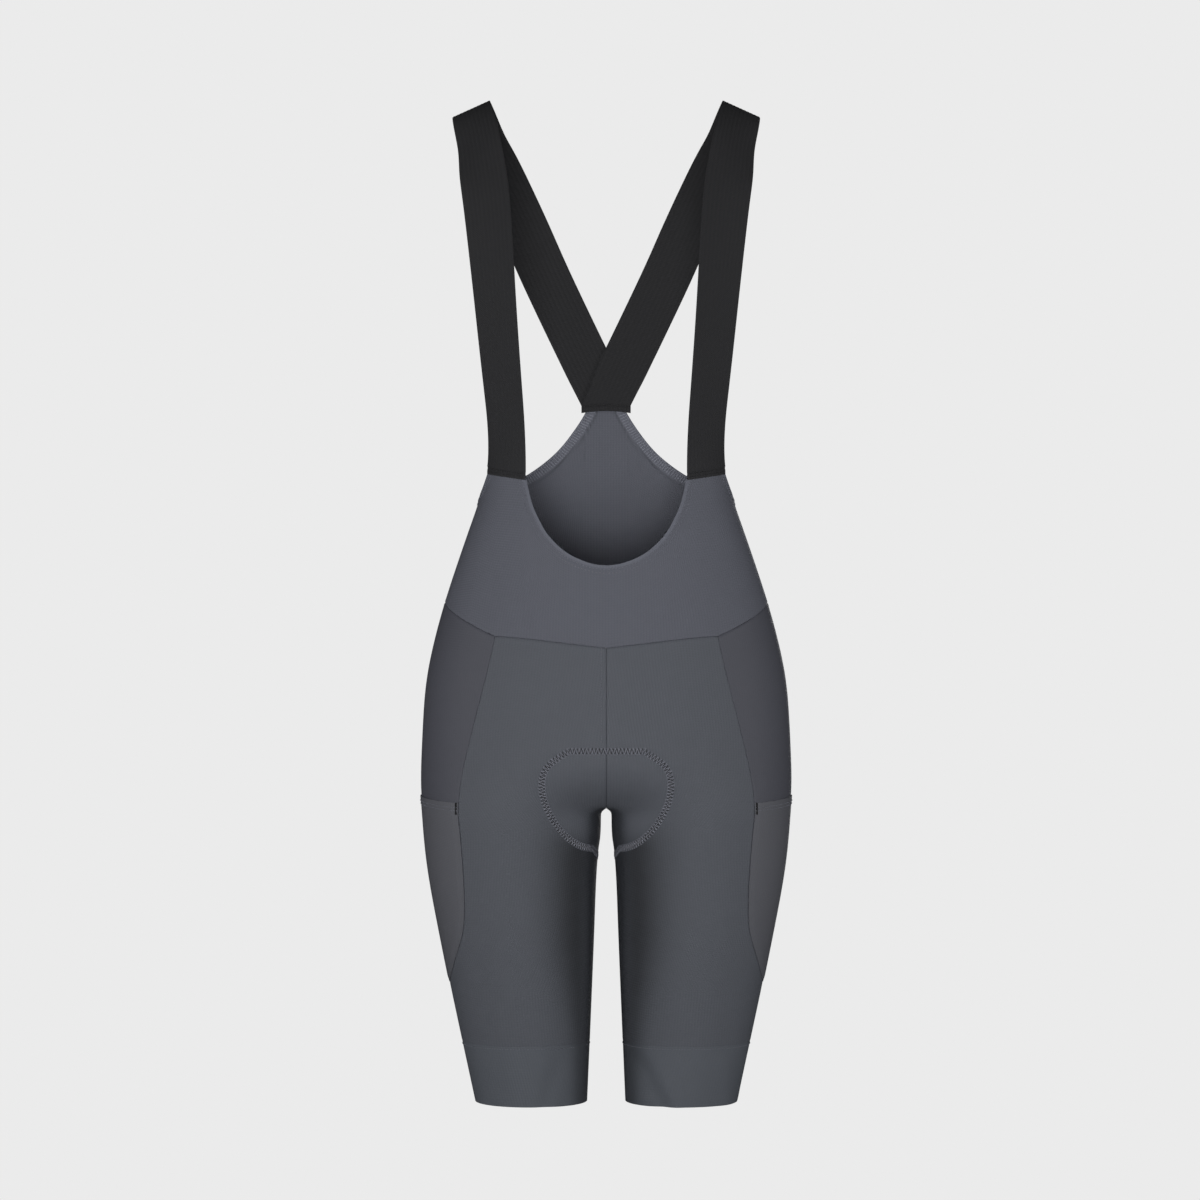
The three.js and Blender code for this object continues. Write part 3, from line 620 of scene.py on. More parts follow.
def pad_inside(at):
    """1 for points of the left side over the pad and 0 for the rest, by counting how often a level line meets
    the pad's outline in the plane of thigh angle and height."""

    def flat(line):
        angle = thigh_angle(line)
        return np.where(line[..., 1] > 0, angle % 360, angle), line[..., 2]

    middle = pad_half[::-1, 0]
    outline = np.concatenate([LINES["pad"], middle])
    line_angle, line_height = flat(outline)
    angle, height = flat(at.reshape(-1, 3))
    a0, h0 = line_angle[:-1], line_height[:-1]
    a1, h1 = line_angle[1:], line_height[1:]
    spans = (h0 > height[:, None]) != (h1 > height[:, None])
    rise = np.where(h1 == h0, 1, h1 - h0)
    meets = a0 + (height[:, None] - h0) / rise * (a1 - a0)
    count = (spans & (angle[:, None] < meets)).sum(1)
    return (count % 2 == 1).reshape(at.shape[:-1])


def inside_pad(left):
    """The distance from the pad's outline, positive over the pad."""
    distance = near(left, LINES["pad"])
    return np.where(pad_inside(left), distance, -distance)


def pad_relief(left):
    """How the pad shows through: a groove of sewing round it, two lobes and a middle valley. It fades where
    the thighs come close."""
    inside = inside_pad(left)
    groove = -PAD_GROOVE * np.exp(-((inside / PAD_SEWN) ** 4))
    lobe = PAD_RISE * smooth(inside, *PAD_LOBE_FROM_OUTLINE)
    valley = -PAD_VALLEY * bump(left[..., 0], PAD_VALLEY_HALF_WIDTH)
    valley *= smooth(inside, *PAD_VALLEY_FROM_OUTLINE)
    low = 1 - smooth(left[..., 2], *CLOSE_THIGHS_HEIGHT)
    close = low * (1 - smooth(left[..., 0], *CLOSE_THIGHS_REACH))
    return (groove + lobe + valley) * (1 - close)


def inner_shade(left):
    """Painted shade of the inner thighs, where the legs shade each other: a bell over the angle round the
    thigh. Over the pad it ends lower."""
    height = left[..., 2]
    up = smooth(height, *INNER_TURN)
    bell = bump(np.abs(thigh_angle(left)) - lerp(*INNER_ANGLE, up), lerp(*INNER_HALF_WIDTH, up))
    on_leg = 1 - smooth(height, *INNER_FADE)
    on_pad = INNER_OVER_PAD * (1 - smooth(height, *INNER_FADE_OVER_PAD))
    reach = lerp(on_leg, on_pad, smooth(inside_pad(left), -1, 4))
    return -INNER_SHADE * bell * reach * lerp(INNER_AT_HEM, 1, up)


def fold_relief(at):
    """Soft folds: a bell across each fold's line, which fades at its ends."""
    total = np.zeros(at.shape[:-1])
    for fold in FOLDS:
        side = at[..., 1] < 0 if fold["face"] == "front" else at[..., 1] > 0
        way_x, way_z = fold["x1"] - fold["x0"], fold["z1"] - fold["z0"]
        length = math.hypot(way_x, way_z)
        dx, dz = at[..., 0] - fold["x0"], at[..., 2] - fold["z0"]
        along = (dx * way_x + dz * way_z) / length
        across = (dx * way_z - dz * way_x) / length
        fade = smooth(along, -0.25 * length, 0.35 * length) * (1 - smooth(along, length, 1.2 * length))
        total += side * fold["rise"] * bump(across, fold["half_width"]) * fade
    return total


def left_side(at):
    """Points with those of the right side brought to the left."""
    return np.abs(at * np.array([1.0, 0, 0])) + at * np.array([0, 1.0, 1.0])


def relief(at, seams=(), hems=(), pad=False, folds=False):
    """The height of the cloth over the form: seams, hems, the pad and folds together."""
    left = left_side(at)
    total = np.zeros(at.shape[:-1])
    for name in seams:
        total += SOFT_SEAMS.get(name, 1) * seam_relief(near(left, LINES[name]))
    for name in hems:
        total += hem_relief(near(left, LINES[name]))
    if pad:
        total += pad_relief(left)
    if folds:
        total += fold_relief(at)
    return total


# Meshes.
def to_frame(at):
    """Points of the form in metres in the part's frame."""
    return (at.reshape(-1, 3) - np.array([0, 0, SHOULDER_HEIGHT])) / 1000


def make_mesh(name, at, faces, attributes=None):
    """A mesh object from arrays, with outward faces, smooth but for its sharp rims."""
    mesh = bpy.data.meshes.new(name)
    size = faces.shape[1]
    mesh.vertices.add(len(at))
    mesh.loops.add(faces.size)
    mesh.polygons.add(len(faces))
    mesh.vertices.foreach_set("co", at.astype(np.float32).ravel())
    mesh.loops.foreach_set("vertex_index", faces.astype(np.int32).ravel())
    mesh.polygons.foreach_set("loop_start", np.arange(len(faces), dtype=np.int32) * size)
    mesh.polygons.foreach_set("use_smooth", np.ones(len(faces), dtype=bool))
    mesh.update()
    mesh.validate()
    for key, values in (attributes or {}).items():
        layer = mesh.attributes.new(key, "FLOAT_VECTOR", "POINT")
        layer.data.foreach_set("vector", values.astype(np.float32).ravel())
    mesh.set_sharp_from_angle(angle=math.radians(50))
    piece = bpy.data.objects.new(name, mesh)
    bpy.context.scene.collection.objects.link(piece)
    return piece


def shell_faces(rows, across, ring):
    """Faces of a closed wall between two grids, the outer first: both faces and the rims."""
    spans = across if ring else across - 1
    i, j = np.meshgrid(np.arange(rows - 1), np.arange(spans), indexing="ij")
    i, j = i.ravel(), j.ravel()
    layer = rows * across

    def quads(*corners):
        """Faces from their corners, each a depth, a row and a column."""
        numbers = [depth * layer + row * across + column % across for depth, row, column in corners]
        return np.stack(numbers, axis=-1)

    k = np.arange(spans)
    end = rows - 1
    faces = [
        quads((0, i, j), (0, i, j + 1), (0, i + 1, j + 1), (0, i + 1, j)),
        quads((1, i, j), (1, i + 1, j), (1, i + 1, j + 1), (1, i, j + 1)),
        quads((0, 0, k), (1, 0, k), (1, 0, k + 1), (0, 0, k + 1)),
        quads((0, end, k), (0, end, k + 1), (1, end, k + 1), (1, end, k)),
    ]
    if not ring:
        k = np.arange(rows - 1)
        far = across - 1
        faces.append(quads((0, k, 0), (0, k + 1, 0), (1, k + 1, 0), (1, k, 0)))
        faces.append(quads((0, k, far), (1, k, far), (1, k + 1, far), (0, k + 1, far)))
    return np.concatenate(faces)


def volume_sign(at, faces):
    """Positive where the faces look outward."""
    a, b, c = (at[faces[:, k]] for k in range(3))
    d = at[faces[:, 3]]
    return np.einsum("ij,ij->i", a, np.cross(b, c)).sum() + np.einsum("ij,ij->i", a, np.cross(c, d)).sum()


def cloth_map(grid, tint):
    """Millimetres across and along the cloth from its middle, for the knit's pattern, and a tint, which
    carries paler rims and painted light and shade.
    """
    middle_row, middle_column = grid.shape[0] // 2, grid.shape[1] // 2
    across, along = np.zeros(grid.shape[:2]), np.zeros(grid.shape[:2])
    across[:, 1:] = np.cumsum(np.linalg.norm(np.diff(grid, axis=1), axis=2), axis=1)
    along[1:] = np.cumsum(np.linalg.norm(np.diff(grid, axis=0), axis=2), axis=0)
    across -= across[:, middle_column : middle_column + 1]
    along -= along[middle_row : middle_row + 1]
    return np.stack([across, along, np.broadcast_to(tint, across.shape)], axis=-1)


def shell(name, outer, inner, tint=0.0, inside_tint=0.0, ring=False):
    """A closed thin wall between two grids of points."""
    faces = shell_faces(outer.shape[0], outer.shape[1], ring)
    at = np.concatenate([to_frame(outer), to_frame(inner)])
    if volume_sign(at, faces) < 0:
        faces = faces[:, ::-1]
    patterns = [cloth_map(outer, shade).reshape(-1, 3) for shade in (tint, inside_tint)]
    return make_mesh(name, at, faces, {"cloth": np.concatenate(patterns)})


def trimmed(grid, rows=(True, True), amount=SEAM_GAP / 2):
    """A grid with its sides, and its sewn first and last rows, pulled in by half a seam."""
    out = grid.copy()
    for sewn, edge, beside in ((rows[0], 0, 1), (rows[1], -1, -2)):
        if sewn:
            out[edge] += unit(grid[beside] - grid[edge]) * amount
        out[:, edge] += unit(grid[:, beside] - grid[:, edge]) * amount
    return out


THREAD_SIDES = 5


def tubes(name, lines, normals, radius):
    """Threads: a round tube along each line of points. lines and normals are count x points x 3."""
    along = unit(np.gradient(lines, axis=1))
    beside = unit(np.cross(along, normals))
    up = np.cross(beside, along)
    turn = np.arange(THREAD_SIDES) * 2 * math.pi / THREAD_SIDES
    ring = np.cos(turn)[:, None] * up[:, :, None] + np.sin(turn)[:, None] * beside[:, :, None]
    at = lines[:, :, None] + ring * radius
    count, steps = lines.shape[:2]
    m, i, k = np.meshgrid(np.arange(count), np.arange(steps - 1), np.arange(THREAD_SIDES), indexing="ij")

    def place(step, side):
        return ((m * steps + step) * THREAD_SIDES + side % THREAD_SIDES).ravel()

    faces = np.stack([place(i, k), place(i, k + 1), place(i + 1, k + 1), place(i + 1, k)], axis=-1)
    return make_mesh(name, to_frame(at), faces)


# Materials.
class Shade:
    """A shader socket. Arithmetic on it makes Math nodes, and node() makes any other node of its tree."""

    def __init__(self, tree, socket=None):
        self.tree = tree
        self.socket = socket

    def node(self, kind, settings=None, inputs=None, output=0):
        made = self.tree.nodes.new(kind)
        for key, value in (settings or {}).items():
            setattr(made, key, value)
        for key, value in (inputs or {}).items():
            self.put(value, made.inputs[key])
        return Shade(self.tree, made.outputs[output] if made.outputs else None)

    def put(self, value, socket):
        if isinstance(value, Shade):
            self.tree.links.new(value.socket, socket)
        else:
            socket.default_value = value

    def math(self, operation, first, second=0.0):
        return self.node("ShaderNodeMath", {"operation": operation}, {0: first, 1: second})

    def __add__(self, other):
        return self.math("ADD", self, other)

    def __radd__(self, other):
        return self.math("ADD", other, self)

    def __sub__(self, other):
        return self.math("SUBTRACT", self, other)

    def __mul__(self, other):
        return self.math("MULTIPLY", self, other)

    def sine(self):
        return self.math("SINE", self)


def noise(shade, scale, detail=2.0):
    """Soft noise over the object's own coordinates, about -0.5 to 0.5."""
    place = shade.node("ShaderNodeTexCoord", output="Object")
    return shade.node("ShaderNodeTexNoise", inputs={"Vector": place, "Scale": scale, "Detail": detail}) - 0.5


def colour(hex_code):
    """A linear colour from a display colour."""
    parts = [int(hex_code[i : i + 2], 16) / 255 for i in (0, 2, 4)]
    return [p / 12.92 if p <= 0.04045 else ((p + 0.055) / 1.055) ** 2.4 for p in parts]


def cloth_material(name, base, factor, roughness, height, strength):
    """A matt cloth: its colour times factor(shade, u, v, tint), and a bump from height(shade, u, v)."""
    material = bpy.data.materials.new(name)
    material.use_nodes = True
    tree = material.node_tree
    tree.nodes.clear()
    shade = Shade(tree)
    place = shade.node("ShaderNodeAttribute", {"attribute_name": "cloth"}, output="Vector")
    parts = shade.node("ShaderNodeSeparateXYZ", inputs={0: place})
    u, v, tint = (Shade(tree, parts.socket.node.outputs[i]) for i in range(3))
    amount = factor(shade, u, v, tint)
    tinted = shade.node(
        "ShaderNodeVectorMath", {"operation": "SCALE"}, {0: tuple(colour(base)), "Scale": amount}
    )
    bumped = shade.node(
        "ShaderNodeBump", inputs={"Strength": strength, "Distance": 0.0003, "Height": height(shade, u, v)}
    )
    surface = shade.node(
        "ShaderNodeBsdfPrincipled",
        inputs={
            "Base Color": tinted,
            "Roughness": roughness,
            "Specular IOR Level": 0.3,
            "Normal": bumped,
        },
    )
    shade.node("ShaderNodeOutputMaterial", inputs={"Surface": surface})
    return material


WALE_PERIOD = 2.7
COURSE_PERIOD = 2.3
RIB_COUNT = 11
RIB_PERIOD = STRAP_WIDTH / RIB_COUNT
CROSS_THREAD_PERIOD = 1.6


def wave(run, period):
    """A sine that comes round once in each period."""
    return (run * (2 * math.pi / period)).sine()


def knit_grid(shade, u, v):
    """Fine wales and courses: one sine across and one along."""
    return wave(u, WALE_PERIOD) * 0.6 + wave(v, COURSE_PERIOD) * 0.4


def knit_factor(shade, u, v, tint):
    """1 with a faint grid, mottling and the tint."""
    mottle = noise(shade, 70) * 0.07 + noise(shade, 700, 1.0) * 0.08
    return 1.0 + knit_grid(shade, u, v) * 0.06 + mottle + tint


def smooth_factor(shade, u, v, tint):
    """1 with faint fine wales only and mottling."""
    mottle = (noise(shade, 70) + noise(shade, 700, 1.0)) * 0.06
    return 1.0 + wave(u, WALE_PERIOD) * 0.02 + mottle + tint


def elastic_factor(shade, u, v, tint):
    """1 with darker grooves between the ribs and fine cross threads."""
    pattern = wave(u, RIB_PERIOD) * 0.05 + wave(v, CROSS_THREAD_PERIOD) * 0.06
    return 1.0 + pattern + noise(shade, 500, 1.0) * 0.1 + tint


def elastic_height(shade, u, v):
    """Fine cross threads."""
    return wave(v, CROSS_THREAD_PERIOD)


def pad_factor(shade, u, v, tint):
    """1 with a brushed, spotted grain."""
    return 1.0 + noise(shade, 400) * 0.3 + noise(shade, 60) * 0.1 + tint


def pad_height(shade, u, v):
    """Brushed grain."""
    return noise(shade, 700)


def thread_factor(shade, u, v, tint):
    """1 with a fine grain."""
    return 1.0 + noise(shade, 1500, 1.0) * 0.2


def thread_height(shade, u, v):
    """Fine grain."""
    return noise(shade, 2500, 1.0)


# Each cloth's colour, the rule of its shades, its roughness, and the rule and strength of its bump.
CLOTHS = {
    "bib_knit": ("5a5c65", knit_factor, 0.72, knit_grid, 0.3),
    "leg_knit": ("54575e", knit_factor, 0.7, knit_grid, 0.3),
    "side_knit": ("4d4e56", smooth_factor, 0.62, knit_grid, 0.15),
    # The pocket knit is paler than the side knit: partly its own cloth, partly painted sheen at its sides.
    "pocket_knit": ("5a5b61", smooth_factor, 0.62, knit_grid, 0.15),
    "band_knit": ("575b62", smooth_factor, 0.68, knit_grid, 0.15),
    "elastic": ("28282a", elastic_factor, 0.8, elastic_height, 0.4),
    "pad": ("3a3c43", pad_factor, 0.9, pad_height, 0.5),
    "thread": ("6c6e77", thread_factor, 0.6, thread_height, 0.3),
    "light_thread": ("7b7d87", thread_factor, 0.6, thread_height, 0.3),
    "dark_thread": ("262628", thread_factor, 0.6, thread_height, 0.3),
}
MATERIALS = {name: cloth_material(name, *cloth) for name, cloth in CLOTHS.items()}


def dress(piece, material, nodes=()):
    """Gives a piece its material and body, and hides the nodes it stands for."""
    piece.data.materials.append(MATERIALS[material])
    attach(piece, "root")
    if nodes:
        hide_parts(*nodes)
    return piece


# Cloth panels, and the sewing of each.
pieces = {}
sewing = {}


def panel(
    name, grid, material, slot_name, lift=0.0, thickness=SHOWN_CLOTH, tints=(0.0, 0.0), ring=False, **shown
):
    """A panel on the form, with its relief, which both faces carry, and a tint for each face."""
    way = outward(grid)
    height = lift + relief(grid, **shown)
    outer = grid + way * height[..., None]
    inner = grid + way * (height - thickness)[..., None]
    piece = shell(name + "_cloth", outer, inner, *tints, ring)
    pieces[name] = dress(piece, material, [name])


# Rows of a leg panel: fine beside the waist seam and the band, and even between.
row_lead = np.array([0.03, 0.07, 0.12, 0.18, 0.26, 0.36, 0.5, 0.7])
leg_rows = np.concatenate(
    [[0], row_lead, np.arange(0.95, 23.1, 0.27), LEG_ROWS - row_lead[::-1] * 1.2, [LEG_ROWS]]
)
leg_columns = spread(150, 4.2)
SIDES = {"left": lambda at: at, "right": mirrored}
leg_shown = {}
for face, face_name in ((-1, "front"), (1, "back")):
    grid = trimmed(leg_points(face, leg_rows, leg_columns), rows=(True, False))
    seams = [line + face_name for line in ("waist_", "middle_", "side_")] + ["inseam", "band"]
    leg_shown[face_name] = {"seams": seams, "pad": True, "folds": True}
    # The tint of both faces is the painted shade of the inner thighs.
    tint = inner_shade(grid)
    for side, turn in SIDES.items():
        name = f"{face_name}_leg_{side}"
        panel(name, turn(grid), "leg_knit", "leg_knit", tints=(tint, tint), **leg_shown[face_name])

side_rows = np.concatenate(
    [[0], row_lead * 0.9, np.arange(0.9, 17.2, 0.25), SEAM_ROWS - row_lead[::-1] * 0.9, [SEAM_ROWS]]
)
side_columns = spread(130, 4.2)
side_grid = trimmed(side_points(side_rows, side_columns))
side_seams = ["waist_front", "waist_back", "side_front", "side_back"]
for side, turn in SIDES.items():
    panel(f"side_panel_{side}", turn(side_grid), "side_knit", "side_knit", seams=side_seams)

pocket_rows = np.concatenate(
    [[SEAM_ROWS_ABOVE_POCKET], SEAM_ROWS_ABOVE_POCKET + row_lead * 0.9, np.arange(9.9, 17.2, 0.25),
     SEAM_ROWS - row_lead[::-1] * 0.9, [SEAM_ROWS]]
)
pocket_grid = trimmed(side_points(pocket_rows, side_columns), rows=(False, True), amount=0.35)
pocket_top = pocket_grid[0]


def pocket_height(at):
    """The outer face of a pocket: lifted inside its sewn edges, with a hem along the open top."""
    edge = np.minimum(near(at, LINES["side_front"]), near(at, LINES["side_back"]))
    lift = lerp(POCKET_EDGE, POCKET_LIFT, smooth(edge, 1, 7))
    return lift + 0.5 * hem_relief(near(at, pocket_top)) * smooth(edge, 0.5, 3)


pocket_shown = {"lift": pocket_height(pocket_grid), "thickness": POCKET_SHOWN}
for side, turn in SIDES.items():
    panel(f"pocket_{side}", turn(pocket_grid), "pocket_knit", "side_knit", **pocket_shown)

band_rows = spread(BAND_TOP, 3.5)
band_columns = np.linspace(0, 1, 145)[:-1]
band_grid = band_points(band_rows, band_columns)
band_shown = {"seams": ["band"], "folds": True}
# The tint of both faces of the bands is the painted shade of the inner thighs.
tint = inner_shade(band_grid)
for side, turn in SIDES.items():
    name = f"leg_band_{side}"
    panel(name, turn(band_grid), "band_knit", "leg_knit", tints=(tint, tint), ring=True, **band_shown)


def rim_tint(at, names):
    """The paler rim of a hem."""
    distance = np.min([near(left_side(at), LINES[name]) for name in names], axis=0)
    return RIM_TINT * (1 - smooth(distance, 2.4, 3.6))


def turned_in(distance):
    """The thickness of the cloth that is turned inside at a back armhole."""
    return INSIDE_FOLD * (1 - smooth(distance, INSIDE_EDGE - 0.5, INSIDE_EDGE + 0.5))


# Bib panels. The cloth turned inside at the back armholes is paler, with a darker groove at its edge.
INSIDE_PALER = 0.26
INSIDE_DARKER = 0.06
INSIDE_GROOVE_DARKER = 0.35
bib_shares = spread(130, 3.5)
front_columns = np.unique(np.concatenate([spread(200, 3.2, last=False) * 16, [3, 4, 7]]))
back_columns = np.unique(np.concatenate([spread(230, 3.2, last=False) * 16, [4, 13]]))
front_grid = trimmed(bib_points(-1, bib_shares, front_columns), rows=(True, False))
back_grid = trimmed(bib_points(1, bib_shares, back_columns), rows=(True, False))
front_hems = ["scoop", "armhole_front"]
tint = rim_tint(front_grid, front_hems)
panel("front_bib", front_grid, "bib_knit", "knit", tints=(tint, tint), seams=["waist_front"], hems=front_hems)
back_hem = near(left_side(back_grid), LINES["armhole_back"])
inside_fold = turned_in(back_hem) - 0.2 * bump(back_hem - INSIDE_EDGE - 0.6, 0.6)
fold_tint = INSIDE_PALER * (1 - smooth(back_hem, INSIDE_EDGE - 0.4, INSIDE_EDGE + 0.2)) - INSIDE_DARKER
fold_tint -= INSIDE_GROOVE_DARKER * bump(back_hem - INSIDE_EDGE - 1, 0.9)
panel(
    "back_bib", back_grid, "bib_knit", "knit", thickness=SHOWN_CLOTH + inside_fold,
    tints=(rim_tint(back_grid, ["armhole_back"]), fold_tint), seams=["waist_back"], hems=["armhole_back"],
)


# Straps.
def path_points(at, across):
    """Points of the strap's outer face and the way it faces. The width direction is squared to the path."""

    def middle(s):
        return points(strap_path["x"](s), strap_path["y"](s), strap_path["z"](s))

    along = unit(middle(at + 0.005) - middle(at - 0.005))
    way = points(strap_path["ax"](at), strap_path["ay"](at), strap_path["az"](at))
    way = unit(way - along * (way * along).sum(-1, keepdims=True))
    face = unit(np.cross(way, along))
    half_width = strap_path["width"](at)[:, None] * across * STRAP_WIDTH / 2
    place = middle(at)[:, None] + way[:, None] * half_width[..., None]
    return place, face[:, None]


def faces_of(at, outside):
    """Outer and inner points of a strap that lies on the form at a distance."""
    way = outward(at)
    return at + way * outside, at + way * (outside - STRAP_THICKNESS)


def strap_grids(inside, rows, across):
    """A strap as outer and inner points. Its foot lies on the front panel, its end inside the back panel, and
    its own path between is eased into both. Rows run from -1 to 0 over the foot's lap, to 1 along the path,
    and to 2 over the end's lap."""
    shift = -CROSSING_SHIFT if inside else CROSSING_SHIFT
    foot_lift = STRAP_GAP + STRAP_THICKNESS
    depth = -(CLOTH_WALL + SEAM_GAP) - (2 * CROSSING_SHIFT if inside else 0)
    foot_angle, foot_height = edge_marks(STRAP_FOOT, (across + 1) / 2)
    end_angle = 180 - across * (180 - BACK_STRAP_CORNER["angle"])
    end_height = lerp(BACK_STRAP_MIDDLE, BACK_STRAP_CORNER["height"], across**2)
    at = np.clip(rows, 0, 1)
    free, face = path_points(at, across)
    back = strap_path["y"](at) > 0
    free[..., 1] += (shift * back * smooth(-strap_path["z"](at), -CROSSING_BEGINS, -CROSSING_FULL))[:, None]
    near_foot = (1 - smooth(at, 0, FOOT_EASE))[:, None, None]
    near_end = smooth(at, 1 - END_EASE, 1)[:, None, None]
    first, last = int(np.argmax(rows >= 0)), int(np.argmax(rows >= 1))
    result = []
    for layer in (0, 1):
        path = free - face * STRAP_THICKNESS * layer
        foot = [faces_of(on_torso(foot_angle, foot_height + rise), foot_lift)[layer] for rise in (0, LAP)]
        end = [faces_of(on_torso(end_angle, end_height + rise), depth)[layer] for rise in (LAP, 0)]
        line = path + (foot[1] - path[first]) * near_foot + (end[0] - path[last]) * near_end
        before = np.clip(-rows, 0, 1)[:, None, None]
        after = np.clip(rows - 1, 0, 1)[:, None, None]
        result.append(line + (foot[0] - foot[1]) * before + (end[1] - end[0]) * after)
    return result


strap_rows = np.concatenate([np.linspace(-1, 0, 12)[:-1], np.linspace(0, 1, 260), np.linspace(1, 2, 12)[1:]])
strap_across = np.linspace(-1, 1, 8 * RIB_COUNT + 1)
# The height of a rib, the drop of the rim, and the depth and place of the sewn groove at each end.
RIB_RISE = 0.22
RIM_DROP = 0.2
END_GROOVE = 0.6
END_GROOVE_AT = 5.6


def strap(name, inside, turn):
    """A ribbed strap: lengthwise ribs on both faces, thinner at its edges, with a sewn groove at each end."""
    outer, inner = strap_grids(inside, strap_rows, strap_across)
    facing = unit(outer - inner)
    rib = np.abs(np.sin((strap_across + 1) / 2 * RIB_COUNT * math.pi)) ** 0.7
    rim = bump(1 - np.abs(strap_across), 0.03)
    on_lap = (strap_rows < 0) | (strap_rows > 1)
    lap = LAP * np.minimum(1 + strap_rows, 2 - strap_rows)
    groove = END_GROOVE * on_lap * bump(lap - END_GROOVE_AT, 1.3)
    height = RIB_RISE * rib - RIM_DROP * rim - RIB_RISE - groove[:, None]
    outer = outer + facing * height[..., None]
    inner = inner - facing * (height + 0.1)[..., None]
    # Painted light: the strap's colour is paler in front, where the light falls, and darker behind.
    tint = lerp(0.04, -0.15, smooth(outer[..., 1], -20, 60))
    piece = shell(name + "_webbing", turn(outer), turn(inner), tint, tint)
    pieces[name] = dress(piece, "elastic", [name])
    return turn(outer), turn(facing)


strap_faces = {
    "left": strap("strap_left", True, SIDES["left"]),
    "right": strap("strap_right", False, SIDES["right"]),
}


# Seat pad: how much thinner it is along its middle and along a groove on each side, where that groove lies as
# a share of the half width, and between which places along the crotch it begins.
PAD_MIDDLE_THINNER = 0.45
PAD_SIDE_THINNER = 0.35
PAD_SIDE_GROOVE_AT = 0.62
PAD_SIDE_GROOVE_BEGINS = (120, 170)


def make_pad():
    """A foam pad: thicker along the middle of each half, with a valley between and pressed edges."""
    way = outward(pad_half)
    middle = pad_size["middle"](pad_alongs)[:, None]
    share = pad_shares[None, :]
    thick = lerp(PAD_EDGE, middle, 1 - share**3)
    width = pad_size["half_width"](pad_alongs)[:, None]
    thick = thick * (1 - PAD_MIDDLE_THINNER * bump(share * width, 6))
    groove = bump((share - PAD_SIDE_GROOVE_AT) * width, 4)
    groove = groove * smooth(pad_alongs, *PAD_SIDE_GROOVE_BEGINS)[:, None]
    thick = thick * (1 - PAD_SIDE_THINNER * groove)
    outer = pad_half - way * (CLOTH_WALL + PAD_GAP)
    inner = outer - way * thick[..., None]
    whole = [np.concatenate([mirrored(side[:, :0:-1]), side], axis=1) for side in (outer, inner)]
    piece = shell("seat_pad_foam", *whole)
    dress(piece, "pad", ["seat_pad"])


make_pad()


# Sewing: threads that lie on the cloth and follow its height.
THREAD_STEPS = 5
THREAD_RISE = 0.3
THREAD_DIP = 0.35
thread_share = np.linspace(0, 1, THREAD_STEPS)
thread_arch = np.sin(thread_share * math.pi)
thread_lift = THREAD_RISE * thread_arch**0.6 - THREAD_DIP * (1 - thread_arch)


def laid(line, toward, run, offset):
    """Points on the form at a run along a line and a distance beside it, on the side of a direction."""
    total = run_of(line)
    sideways = unit(np.cross(outward(line), unit(np.gradient(line, axis=0))))
    sideways = sideways * np.sign((sideways * toward).sum())
    return settle(places(line, total, run) + unit(places(sideways, total, run)) * offset[..., None])


def stitches(line, toward, pitch, start, end, lean, height, shift=0.0, inside=False):
    """Like stitches along a line: each runs from the distance start beside the line to the distance end,
    leans along it by a share of the pitch, arches between its ends and dips into the cloth there. The pitch
    is fitted to the length, so that the row goes on without a gap where it meets its mirror image."""
    length = run_of(line)[-1]
    count = round(length / pitch)
    pitch = length / count
    run = (np.arange(count) + shift)[:, None] * pitch + thread_share * lean * pitch
    offset = np.broadcast_to(lerp(start, end, thread_share), run.shape)
    at = laid(line, np.array(toward), run, offset)
    way = outward(at)
    lift = height(at) + thread_lift * (-1 if inside else 1)
    return at + way * lift[..., None], way


def sew(name, sheet_name, groups, material, turns, radius):
    """Joins groups of stitches into one piece, once for each turn, and names it with its sheet."""
    lines = np.concatenate([turn(lines) for turn in turns for lines, way in groups])
    ways = np.concatenate([turn(way) for turn in turns for lines, way in groups])
    piece = dress(tubes(name, lines, ways, radius), material)
    sewing.setdefault(sheet_name, []).append(piece)


def leg_height(face_name):
    """The cloth's height on a leg panel."""
    return lambda at: relief(at, **leg_shown[face_name])


# The sewn outline of the pad: a light zigzag over a dark one, between two rows of short stitches.
PAD_PITCH = 3.3
PAD_STITCH = 3.0
pad_front = LINES["pad"][LINES["pad"][:, 1] < 0]
pad_back = LINES["pad"][LINES["pad"][:, 1] >= 0]
for face_name, line in (("front", pad_front), ("back", pad_back)):
    rule = {"line": line, "toward": (1, 0, 0), "pitch": PAD_PITCH, "height": leg_height(face_name)}
    light = [
        stitches(start=-PAD_STITCH, end=PAD_STITCH, lean=0.5, **rule),
        stitches(start=PAD_STITCH, end=-PAD_STITCH, lean=0.5, shift=0.5, **rule),
    ]
    dark = [
        stitches(start=-PAD_STITCH, end=PAD_STITCH, lean=0.5, shift=0.25, **rule),
        stitches(start=PAD_STITCH, end=-PAD_STITCH, lean=0.5, shift=0.75, **rule),
    ]
    edges = [stitches(start=end, end=end, lean=0.7, **rule) for end in (-PAD_STITCH, PAD_STITCH)]
    kinds = {
        "zigzag": (light, "light_thread", 0.42),
        "cross": (dark, "dark_thread", 0.4),
        "edges": (edges, "thread", 0.35),
    }
    for side, turn in SIDES.items():
        for kind, (groups, material, radius) in kinds.items():
            name = f"pad_{kind}_{face_name}_{side}"
            sew(name, f"{face_name}_leg_{side}", groups, material, [turn], radius)

